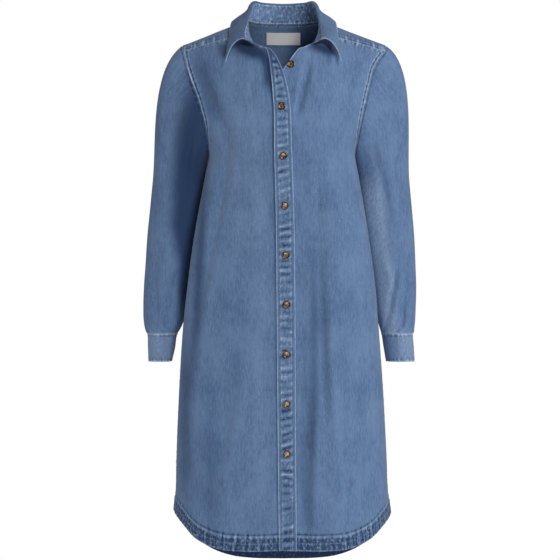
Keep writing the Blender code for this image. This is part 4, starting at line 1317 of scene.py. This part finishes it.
def cuff_face(side):
    wind = np.linspace(0, 1, CUFF_CELLS + 1)
    down = np.linspace(0, 1, CUFF_ROWS)[:, None]
    face = band_face(cuff(side, down, wind), -side, ("top", "bottom"), 61 + side, 0.7)
    face["wear"] = face["wear"] + CUFF_WEAR
    return face


def stand_face():
    around = np.linspace(-1, 1, STAND_CELLS + 1)
    up = np.linspace(0.01, 1, STAND_ROWS)[:, None]
    face = band_face(stand(around, up), 1, ("top", "bottom"), 71, 1.2)
    # Painted shade on the stand's end at the wearer's left
    face["wear"] = face["wear"] - PAINTED_COLLAR_SHADE * ease(15, 40, face["points"][..., 0])
    face["seam"] = BAND_MARKS
    return face


def fall_face():
    around = np.linspace(-1, 1, FALL_CELLS + 1)
    over = np.linspace(0, 1, FALL_ROWS)[:, None]
    face = measured(fall(around, over), -1)
    edge = np.minimum.reduce([face[border] for border in ("bottom", "left", "right")])
    ripple = 0.4 * ease(9, 4, edge) * wobble(face["left"], 73) * ease(0, 6, face["bottom"])
    rise = groove(edge, SECOND_ROW, 1.2, 0.45) + ripple
    rise += 0.5 * cloth_noise(face, 74) * ease(14, 24, face["top"]) * ease(0, 8, edge)
    wear = near(edge, 2.0, 1.0) - near(edge - SECOND_ROW, 1.6, 0.25) + ripple
    face["seam"] = 0.4 * seam_marks(edge)
    # The fall has painted shade on the wearer's right leaf
    return raised(face, rise, -1, wear - PAINTED_COLLAR_SHADE * ease(-20, -50, face["points"][..., 0]))


def slit_face(side):
    """The sleeve placket, which ends just above the cuff seam."""
    angles = np.radians(np.linspace(SLIT_FROM, SLIT_TO, SLIT_CELLS + 1))
    stages = np.linspace(stage_at(SLIT_TOP_HEIGHT), 1.985, SLIT_ROWS)[:, None]
    plain = arm(side, stages, angles, ON_BAND + 0.2)
    return band_face(plain, -side, ("left", "right", "top"), 81 + side, 0.5)


# Small parts

# A button's section from the middle of its face over the rim to the middle of its back, as
# shares of its radius and thickness
BUTTON_PROFILE = (
    (0.0, 0.52), (0.5, 0.52), (0.58, 0.56), (0.7, 0.86), (0.78, 0.97), (0.86, 1.0), (0.94, 0.93),
    (0.99, 0.72), (1.0, 0.5), (0.97, 0.2), (0.88, 0.03), (0.8, 0.0), (0.0, 0.0),
)
BUTTON_STEPS = 48
# Its thread holes, as shares of its radius
HOLE_REACH, HOLE_RADIUS = 0.2, 0.085
HOLES = [(x, y) for y in (-HOLE_REACH, HOLE_REACH) for x in (-HOLE_REACH, HOLE_REACH)]
# The radius of a strand of thread, and how far it lies to either side of its bar, as a share of
# the button's radius
STRAND, STRAND_SHIFT = 0.28, 0.05
# Half the width of a buttonhole's loop of stitches
LOOP_REACH = 1.15


def label_face():
    """The label inside the yoke, with straight sides."""
    across = np.linspace(-LABEL_WIDTH / 2, LABEL_WIDTH / 2, LABEL_CELLS + 1)
    places = np.linspace(-0.5, 0.5, 401)
    rows = []
    for at in np.linspace(*label_downs(), LABEL_ROWS):
        row = yoke(places, np.full(places.shape, at))
        around = np.interp(across, row[:, 0], places)
        rows.append(yoke(around, np.full(across.shape, at), -CLOTH - LABEL_GAP - LABEL_TAPE))
    face = measured(np.array(rows), 1)
    edge = np.minimum.reduce([face[border] for border in ("left", "right", "top", "bottom")])
    rise = 0.25 * ease(4, 1, edge) * wobble(face["left"] + face["top"], 91) - 0.2 * ease(1.5, 0, edge)
    return raised(face, rise, 1)


def closed_mesh(name, mesh):
    """A bmesh made into a mesh, with its faces turned outwards."""
    bmesh.ops.recalc_face_normals(mesh, faces=mesh.faces)
    data = bpy.data.meshes.new(name)
    mesh.to_mesh(data)
    mesh.free()
    return data


def bridge(mesh, upper, lower):
    """Faces between two rings. A ring may be a single point."""
    steps = max(len(upper), len(lower))
    for k in range(steps):
        m = (k + 1) % steps
        corners = (upper[k % len(upper)], lower[k % len(lower)], lower[m % len(lower)], upper[m % len(upper)])
        mesh.faces.new(list(dict.fromkeys(corners)))


def button_mesh(radius):
    """A turned button with a raised rim and thread holes."""
    mesh = bmesh.new()
    rings = []
    for reach, height in BUTTON_PROFILE:
        ring = []
        for k in range(BUTTON_STEPS if reach else 1):
            turn = 2 * math.pi * k / BUTTON_STEPS
            x, y = reach * radius * math.cos(turn), reach * radius * math.sin(turn)
            ring.append(mesh.verts.new(Vector((x, y, height * BUTTON_THICKNESS)) * MM))
        rings.append(ring)
    for upper, lower in zip(rings, rings[1:]):
        bridge(mesh, upper, lower)
    body = linked("button_body", closed_mesh("button_body", mesh))
    cutters = []
    for x, y in HOLES:
        place = (x * radius * MM, y * radius * MM, 0)
        reach, depth = HOLE_RADIUS * radius * MM, 4 * BUTTON_THICKNESS * MM
        bpy.ops.mesh.primitive_cylinder_add(vertices=16, radius=reach, depth=depth, location=place)
        cutters.append(bpy.context.object)
        cut = body.modifiers.new("hole", "BOOLEAN")
        cut.object = cutters[-1]
        cut.operation = "DIFFERENCE"
    graph = bpy.context.evaluated_depsgraph_get()
    made = bpy.data.meshes.new_from_object(body.evaluated_get(graph))
    for thing in (body, *cutters):
        bpy.data.objects.remove(thing)
    rim = np.array([vertex.co.xy.length / (radius * MM) for vertex in made.vertices], dtype=np.float32)
    made.attributes.new("rim", "FLOAT", "POINT").data.foreach_set("value", rim)
    made.shade_smooth()
    made.set_sharp_from_angle(angle=math.radians(40))
    return made


def frame_on(points):
    """A placement from a place and two more beside it: +Z out of the face, +Y up along it."""
    place, first, second = (Vector(point) * MM for point in points)
    out = (first - place).cross(second - place).normalized()
    up = Vector((0, 0, 1)) - out * out.z
    up.normalize()
    side = up.cross(out)
    turned = Matrix((side, up, out)).transposed().to_4x4()
    return Matrix.Translation(place) @ turned


def thread_mesh(radius):
    """Two bars of thread over a button's holes, each of two strands."""
    mesh = bmesh.new()
    places = [bar + shift for bar in (-HOLE_REACH, HOLE_REACH) for shift in (-STRAND_SHIFT, STRAND_SHIFT)]
    for x in places:
        rings = []
        for t in np.linspace(0, 1, 9).tolist():
            y = (2 * t - 1) * HOLE_REACH * radius
            z = (0.5 + 0.2 * math.sin(math.pi * t)) * BUTTON_THICKNESS
            turns = [2 * math.pi * c / 6 for c in range(6)]
            ring = [(x * radius + STRAND * math.cos(turn), y, z + STRAND * math.sin(turn)) for turn in turns]
            rings.append([mesh.verts.new(Vector(place) * MM) for place in ring])
        for low, high in zip(rings, rings[1:]):
            bridge(mesh, low, high)
        mesh.faces.new(rings[0][::-1])
        mesh.faces.new(rings[-1])
    data = closed_mesh("thread", mesh)
    data.shade_smooth()
    return data


def put_button(name, node, placement, shapes, materials, turn=0.0):
    """A button and its thread, turned on the spot."""
    turned = placement @ Matrix.Rotation(math.radians(turn), 4, "Z")
    parts = zip((name, f"{name}_thread"), shapes, materials, (node, None), ("tortoise_resin", "denim"))
    for piece, shape, material, replaced, slot in parts:
        data = shape.copy()
        data.materials.clear()
        data.transform(turned)
        add_piece(piece, data, material, replaced, slot)


def buttonhole(name, placement, length, material):
    """A worked buttonhole: a long loop of close stitches, with a rough outer edge."""
    points, faces = [], []
    steps = 64
    for k in range(steps):
        turn = 2 * math.pi * k / steps
        x, y = math.cos(turn), math.sin(turn)
        reach_y = length / 2 * math.copysign(abs(y) ** 0.35, y)
        reach_x = LOOP_REACH * math.copysign(abs(x) ** 0.45, x)
        rough = 0.12 * math.sin(k * 2.7)
        for across, up in ((-0.55, 0.0), (-0.4, 0.38), (0.4, 0.38), (0.6 + rough, 0.0)):
            points.append((reach_x * (1 + across / LOOP_REACH), reach_y + across * y, up))
        m = (k + 1) % steps
        for c in range(4):
            d = (c + 1) % 4
            faces.append((4 * k + c, 4 * m + c, 4 * m + d, 4 * k + d))
    mesh = new_mesh(name, np.array(points), faces)
    mesh.transform(placement)
    mesh.shade_smooth()
    return add_piece(name, mesh, material)


# Materials


def nodes_of(name, colour, roughness):
    material = bpy.data.materials.new(name)
    material.use_nodes = True
    tree = material.node_tree
    shader = tree.nodes["Principled BSDF"]
    shader.inputs["Base Color"].default_value = (*colour, 1)
    shader.inputs["Roughness"].default_value = roughness
    return material, tree, shader


def node(tree, kind, **settings):
    made = tree.nodes.new(kind)
    for key, value in settings.items():
        setattr(made, key, value)
    return made


def noise(tree, vector, scale, detail=2.0, roughness=0.5):
    """Noise on the cloth's own metres, stretched as the scale says."""
    mapping = node(tree, "ShaderNodeMapping")
    mapping.inputs["Scale"].default_value = scale
    tree.links.new(vector, mapping.inputs["Vector"])
    made = node(tree, "ShaderNodeTexNoise")
    made.inputs["Scale"].default_value = 1.0
    made.inputs["Detail"].default_value = detail
    made.inputs["Roughness"].default_value = roughness
    tree.links.new(mapping.outputs["Vector"], made.inputs["Vector"])
    return made.outputs["Fac"]


def mixed(tree, factor, first, second):
    made = node(tree, "ShaderNodeMix", data_type="RGBA", blend_type="MIX")
    for name, value in (("Factor", factor), ("A", first), ("B", second)):
        socket = next(s for s in made.inputs if s.name == name and s.enabled)
        if isinstance(value, tuple):
            socket.default_value = (*value, 1)
        else:
            tree.links.new(value, socket)
    return next(s for s in made.outputs if s.enabled)


def ramped(tree, value, low, high, end=1.0, start=0.0):
    """A value carried smoothly from start, where it is low, to the end, where it is high."""
    made = node(tree, "ShaderNodeMapRange", interpolation_type="SMOOTHSTEP")
    tree.links.new(value, made.inputs["Value"])
    for name, number in (("From Min", low), ("From Max", high), ("To Min", start), ("To Max", end)):
        made.inputs[name].default_value = number
    return made.outputs["Result"]


def maths(tree, operation, first, second):
    made = node(tree, "ShaderNodeMath", operation=operation)
    for socket, value in zip(made.inputs, (first, second)):
        if isinstance(value, bpy.types.NodeSocket):
            tree.links.new(value, socket)
        else:
            socket.default_value = value
    return made.outputs[0]


def attribute(tree, name):
    return node(tree, "ShaderNodeAttribute", attribute_name=name).outputs["Fac"]


def cloth_place(tree):
    return node(tree, "ShaderNodeUVMap", uv_map="cloth").outputs["UV"]


def object_place(tree):
    return node(tree, "ShaderNodeTexCoord").outputs["Object"]


def add_bump(tree, shader, height, strength, distance):
    """Relief too fine for the meshes."""
    bump = node(tree, "ShaderNodeBump")
    bump.inputs["Strength"].default_value = strength
    bump.inputs["Distance"].default_value = distance
    tree.links.new(height, bump.inputs["Height"])
    tree.links.new(bump.outputs["Normal"], shader.inputs["Normal"])


# The denim's tones. The pale worn tone also stands for painted light, and the dark unworn tone for
# painted shade
DENIM_DARK, DENIM_MID, DENIM_LIGHT = (0.066, 0.127, 0.265), (0.118, 0.207, 0.392), (0.198, 0.312, 0.52)
WORN_AND_LIT, UNWORN_AND_SHADED = (0.46, 0.59, 0.78), (0.02, 0.048, 0.125)


def denim_material():
    """Washed denim: slubs along the warp, a fine weave, cloudy fading, wear at seams, and the painted light
    and shade that the pieces carry with their wear.
    """
    material, tree, shader = nodes_of("denim", DENIM_MID, 0.9)
    cloth = cloth_place(tree)
    slub = noise(tree, cloth, (330, 70, 1), 2.0, 0.6)
    patch = noise(tree, cloth, (110, 12, 1), 2.0, 0.5)
    cloud = noise(tree, cloth, (22, 14, 1), 3.0, 0.55)
    speck = noise(tree, cloth, (420, 300, 1), 1.0, 0.5)
    colour = mixed(tree, ramped(tree, slub, -0.1, 1.1), DENIM_DARK, DENIM_LIGHT)
    layers = (
        (speck, 0.5, 0.75, 0.4, DENIM_DARK),
        (patch, 0.5, 0.8, 0.25, DENIM_LIGHT),
        (patch, 0.5, 0.2, 0.25, DENIM_DARK),
        (cloud, 0.4, 0.68, 0.35, DENIM_LIGHT),
        (cloud, 0.45, 0.25, 0.3, DENIM_DARK),
    )
    for source, low, high, most, tone in layers:
        colour = mixed(tree, ramped(tree, source, low, high, most), colour, tone)

    wear = attribute(tree, "wear")
    mottle = ramped(tree, noise(tree, cloth, (230, 140, 1), 2.0, 0.6), 0.35, 0.62, 1.0, 0.5)
    # The wear attribute carries painted light and shade as well as wear: pale where worn and where light is
    # painted, dark where unworn and where shade is painted
    worn = maths(tree, "MULTIPLY", ramped(tree, wear, 0.0, 0.8), mottle)
    colour = mixed(tree, worn, colour, WORN_AND_LIT)
    colour = mixed(tree, ramped(tree, wear, 0.0, -0.8), colour, UNWORN_AND_SHADED)
    seam = attribute(tree, "seam")
    marks = noise(tree, cloth, (230, 150, 1), 1.0, 0.5)
    for low, high, tone in ((0.46, 0.85, WORN_AND_LIT), (0.54, 0.15, DENIM_DARK)):
        marked = maths(tree, "MULTIPLY", ramped(tree, marks, low, high), seam)
        colour = mixed(tree, marked, colour, tone)
    tree.links.new(colour, shader.inputs["Base Color"])
    shader.inputs["Sheen Weight"].default_value = 0.15
    shader.inputs["Sheen Roughness"].default_value = 0.5
    shader.inputs["Specular IOR Level"].default_value = 0.15

    threads = maths(tree, "MULTIPLY", noise(tree, cloth, (1500, 260, 1), 1.0), 0.5)
    crossing = maths(tree, "MULTIPLY", noise(tree, cloth, (260, 1500, 1), 1.0), 0.4)
    weave = maths(tree, "ADD", threads, crossing)
    height = maths(tree, "ADD", weave, maths(tree, "MULTIPLY", slub, 0.35))
    add_bump(tree, shader, height, 0.4, 0.0007)
    return material


def resin_material():
    """Brown resin with darker and amber clouds, and a dark rim."""
    material, tree, shader = nodes_of("tortoise_resin", (0.1, 0.04, 0.02), 0.22)
    place = object_place(tree)
    clouds = noise(tree, place, (190, 190, 190), 3.0, 0.6)
    spots = noise(tree, place, (420, 420, 420), 2.0, 0.5)
    colour = mixed(tree, ramped(tree, clouds, 0.38, 0.62), (0.018, 0.008, 0.006), (0.16, 0.055, 0.02))
    colour = mixed(tree, ramped(tree, spots, 0.46, 0.6), colour, (0.42, 0.2, 0.07))
    colour = mixed(tree, ramped(tree, attribute(tree, "rim"), 0.55, 0.8), colour, (0.02, 0.012, 0.01))
    tree.links.new(colour, shader.inputs["Base Color"])
    shader.inputs["Coat Weight"].default_value = 0.8
    shader.inputs["Coat Roughness"].default_value = 0.12
    return material


def tape_material():
    material, tree, shader = nodes_of("label_tape", (0.8, 0.77, 0.79), 0.6)
    weave = noise(tree, cloth_place(tree), (300, 1800, 1), 1.0)
    colour = mixed(tree, ramped(tree, weave, 0.3, 0.7), (0.86, 0.84, 0.85), (0.95, 0.93, 0.94))
    tree.links.new(colour, shader.inputs["Base Color"])
    shader.inputs["Sheen Weight"].default_value = 0.3
    add_bump(tree, shader, weave, 0.3, 0.0003)
    return material


def button_thread_material():
    material, _, shader = nodes_of("button_thread", (0.2, 0.12, 0.08), 0.7)
    shader.inputs["Sheen Weight"].default_value = 0.2
    return material


def thread_material():
    material, tree, shader = nodes_of("thread", (0.22, 0.32, 0.5), 0.7)
    tone = noise(tree, object_place(tree), (260, 260, 260), 2.0)
    colour = mixed(tree, ramped(tree, tone, 0.3, 0.7), (0.13, 0.21, 0.37), (0.31, 0.42, 0.59))
    tree.links.new(colour, shader.inputs["Base Color"])
    shader.inputs["Sheen Weight"].default_value = 0.2
    return material


# The stitching of each piece


def inner_side(face, thickness):
    return {**face, "points": face["points"] - face["normals"] * thickness, "normals": -face["normals"]}


def hem_rows(face, part=ALL):
    return [(face, "bottom", HEM_BAND, part), (face, "bottom", HEM_BAND / 2, part)]


def sew_front(side, face, thread):
    """The hem's rows, which the placket hides on the right, the armhole's and the top seam's."""
    shows = slice(BAND_CELLS if side == RIGHT else 0, None)
    armhole_row = (face, "right", SECOND_ROW, slice(2, FRONT_UPPER_ROWS))
    rows = [*hem_rows(face, shows), armhole_row, (face, "top", EDGE_ROW)]
    stitches(f"front_stitches_{side_name(side)}", thread, *rows)


def sew_back(face, thread):
    upper = slice(2, BACK_UPPER_ROWS)
    armhole_rows = [(face, border, SECOND_ROW, upper) for border in ("left", "right")]
    stitches("back_stitches", thread, *hem_rows(face), *armhole_rows)


def sew_yoke(face, thread):
    seam_rows = [(face, "bottom", reach) for reach in (YOKE_ROW, SECOND_ROW)]
    front_rows = [(face, border, EDGE_ROW) for border in ("left", "right")]
    stitches("yoke_stitches", thread, *seam_rows, *front_rows)


def sew_placket(face, thread):
    """Both edges, from where the band is wide enough to show two rows."""
    wide = face["left"][:, -1] > STITCHED_WIDTH
    part = slice(int(np.argmax(wide)), None)
    rows = [(face, border, PLACKET_ROW, part) for border in ("left", "right")]
    stitches("placket_stitches", thread, *rows)


def sew_stand(face, thread):
    inside = inner_side(face, BAND_SHELL)
    inner_rows = [(inside, *row) for row in STAND_INNER_ROWS]
    stitches("stand_stitches", thread, (face, "top", STAND_ROW), *inner_rows)


def sew_fall(face, thread):
    """The fall's edge all round, on which no row runs past the corners."""
    leaf_ends = [(face, border, SECOND_ROW, slice(6, FALL_ROWS - 5)) for border in ("left", "right")]
    outer_edge = (face, "bottom", SECOND_ROW, slice(5, FALL_CELLS - 5))
    stitches("collar_stitches", thread, outer_edge, *leaf_ends)


def sew_cuff(side, band, slit, thread):
    rows = [(band, *row) for row in CUFF_BAND_ROWS]
    rows += [(slit, border, SLIT_ROW, slice(3, None)) for border in ("left", "right")]
    stitches(f"cuff_stitches_{side_name(side)}", thread, *rows, (slit, "top", SLIT_ROW))


# Buttons and buttonholes

# How far a buttonhole's stitches stand off the cloth
HOLE_LIFT = 0.1
# How far beside a place the points lie that give its directions, in a surface's own numbers
BESIDE = 0.02
BUTTONHOLE_LENGTH, STAND_BUTTONHOLE_LENGTH = 18.0, 14.0
# Where the open buttonhole is: its distance from the edge and its height
OPEN_BUTTONHOLE = (18.0, -100.0)
# Where the stand's button and buttonhole are: how far round and how far up
STAND_BUTTON, STAND_BUTTONHOLE = (0.93, 0.62), (-0.95, 0.5)
# How far the first button is turned on its thread, in degrees, and the others at most
FIRST_TURN, MOST_TURN = 8, 20


def on_front(side, from_edge, height, lift):
    """A placement on a front, some distance from its edge."""
    level, angle = level_at(side, from_edge, height)
    levels = np.array((level, level + BESIDE, level))
    angles = np.array((angle, angle, angle + side * BESIDE))
    return frame_on(front(side, levels, angles, lift))


def on_cuff(side, lift):
    """A placement on the middle of a cuff, at its button."""
    wind = (360 + CUFF_BUTTON_TURN - CUFF_LAP_FROM) / (360 + CUFF_LAP_TO - CUFF_LAP_FROM)
    winds = np.array((wind, wind, wind - side * BESIDE / 2))
    return frame_on(cuff(side, np.array((0.5, 0.6, 0.5)), winds, lift))


def on_stand(around, up, lift, facing):
    """A placement on the stand that faces outwards (1) or inwards (-1)."""
    arounds = np.array((around, around, around + facing * BESIDE / 2))
    ups = np.array((up, up + 0.05, up))
    return frame_on(stand(arounds, ups, lift))


def make_buttons(resin, button_thread, thread):
    large, small = ((button_mesh(size), thread_mesh(size)) for size in (BUTTON_RADIUS, CUFF_BUTTON_RADIUS))
    materials = (resin, button_thread)
    loose_edge = np.interp(-LOOSE_BUTTON_HEIGHT, -FRONT_ROWS["left_height"], FRONT_ROWS["left_across"])
    loose = on_front(LEFT, LOOSE_BUTTON_ACROSS - loose_edge, LOOSE_BUTTON_HEIGHT, BUTTON_STANDOFF)
    put_button("front_button_1", "button_1", loose, large, materials, FIRST_TURN)
    for count in range(FASTENED_BUTTONS):
        height = FIRST_FASTENED_HEIGHT - count * BUTTON_PITCH
        placement = on_front(RIGHT, BAND_WIDTH / 2, height, ON_BAND + BUTTON_STANDOFF)
        turn = MOST_TURN * math.sin(2.3 * count + 1)
        put_button(f"front_button_{count + 2}", f"button_{count + 2}", placement, large, materials, turn)
        hole = on_front(RIGHT, BAND_WIDTH / 2, height, ON_BAND + HOLE_LIFT)
        buttonhole(f"buttonhole_{count + 2}", hole, BUTTONHOLE_LENGTH, thread)
    open_hole = on_front(RIGHT, *OPEN_BUTTONHOLE, ON_BAND + HOLE_LIFT)
    buttonhole("buttonhole_1", open_hole, BUTTONHOLE_LENGTH, thread)

    stand_place = on_stand(*STAND_BUTTON, SMALL_BUTTON_LIFT, 1)
    put_button("stand_button", "button_stand", stand_place, small, materials)
    stand_hole = on_stand(*STAND_BUTTONHOLE, -BAND_SHELL - HOLE_LIFT, -1)
    sideways = stand_hole @ Matrix.Rotation(QUARTER, 4, "Z")
    buttonhole("stand_buttonhole", sideways, STAND_BUTTONHOLE_LENGTH, thread)
    for side in (RIGHT, LEFT):
        name = side_name(side)
        placement = on_cuff(side, SMALL_BUTTON_LIFT)
        put_button(f"cuff_button_{name}_turned", f"button_cuff_{name}", placement, small, materials)


def dress(denim, tape, thread):
    """Every cloth piece with its stitching."""
    made = {}

    def put(node, form, face, thickness, **more):
        made[node] = shell(f"{node}_{form}", face, thickness, denim, node, **more)
        return face

    for side in (RIGHT, LEFT):
        name = side_name(side)
        sew_front(side, put(f"front_{name}", "panel", front_face(side), SHELL), thread)
        put(f"sleeve_{name}", "tube", arm_face(side), SHELL, ring=True)
        band = put(f"cuff_{name}", "band", cuff_face(side), BAND_SHELL)
        slit = put(f"sleeve_placket_{name}", "strip", slit_face(side), BAND_SHELL)
        sew_cuff(side, band, slit, thread)
    sew_back(put("back", "panel", back_face(), SHELL), thread)
    sew_yoke(put("yoke", "panel", yoke_face(), SHELL), thread)
    sew_placket(put("placket", "band", placket_face(), BAND_SHELL), thread)
    sew_stand(put("collar_stand", "band", stand_face(), BAND_SHELL), thread)
    sew_fall(put("collar", "fall", fall_face(), BAND_SHELL), thread)
    made["label"] = shell("woven_label", label_face(), LABEL_SHELL, tape, "label", slot="label_tape")
    return made


# The stage, in metres

FLOOR_HEIGHT, FLOOR_RADIUS = -1.3, 1.7
AMBIENT = 0.03
LIGHT_DISTANCE, LIGHT_SIZE = 4.6, 1.3
LIGHT_AIM = Vector((0, 0, -0.5))
# The camera looks straight back. Its sensor and lens are in millimetres.
CAMERA_PLACE = (-0.0067, -4.0, -0.4858)
SENSOR_WIDTH, LENS = 36.0, 133.9
# The lights: name, degrees to the right of the front, degrees above the dress, power in watts
LIGHTS = (
    ("key", 24, 30, 92),
    ("right_side", 75, 24, 72),
    ("front", 0, -6, 34),
    ("left_side", -84, 10, 58),
    ("back", 180, 20, 70),
)


def area_light(name, round_by, above, power):
    """A soft light on a circle round the middle of the dress, facing it."""
    data = bpy.data.lights.new(name, "AREA")
    data.size = LIGHT_SIZE
    data.energy = power
    lamp = linked(name, data)
    level = math.cos(above)
    away = Vector((level * math.sin(round_by), -level * math.cos(round_by), math.sin(above)))
    lamp.location = LIGHT_AIM + LIGHT_DISTANCE * away
    lamp.rotation_euler = (-away).to_track_quat("-Z", "Y").to_euler()


def plain_floor():
    material, _, shader = nodes_of("paper", (0.8, 0.8, 0.8), 0.9)
    shader.inputs["Specular IOR Level"].default_value = 0.1
    place = (0, 0, FLOOR_HEIGHT)
    bpy.ops.mesh.primitive_circle_add(vertices=96, radius=FLOOR_RADIUS, fill_type="NGON", location=place)
    floor = bpy.context.object
    floor.name = "floor"
    floor.data.materials.append(material)


def studio_world():
    """Soft light from all round, and a white background behind the dress."""
    world = bpy.data.worlds.new("studio")
    world.use_nodes = True
    tree = world.node_tree
    soft, white = tree.nodes["Background"], node(tree, "ShaderNodeBackground")
    soft.inputs["Color"].default_value = (0.9, 0.95, 1.0, 1)
    soft.inputs["Strength"].default_value = AMBIENT
    white.inputs["Color"].default_value = (1.0, 1.0, 1.0, 1)
    seen = node(tree, "ShaderNodeLightPath")
    either = node(tree, "ShaderNodeMixShader")
    tree.links.new(seen.outputs["Is Camera Ray"], either.inputs["Fac"])
    tree.links.new(soft.outputs["Background"], either.inputs[1])
    tree.links.new(white.outputs["Background"], either.inputs[2])
    tree.links.new(either.outputs["Shader"], tree.nodes["World Output"].inputs["Surface"])
    bpy.context.scene.world = world


def light_and_camera():
    studio_world()
    for name, round_by, above, power in LIGHTS:
        area_light(name, math.radians(round_by), math.radians(above), power)
    data = bpy.data.cameras.new("camera")
    data.sensor_width = SENSOR_WIDTH
    data.lens = LENS
    camera = linked("camera", data)
    camera.location = CAMERA_PLACE
    camera.rotation_euler = (math.pi / 2, 0, 0)
    bpy.context.scene.camera = camera


bpy.context.scene.view_settings.view_transform = "Standard"
thread = thread_material()
dress(denim_material(), tape_material(), thread)
make_buttons(resin_material(), button_thread_material(), thread)
plain_floor()
light_and_camera()
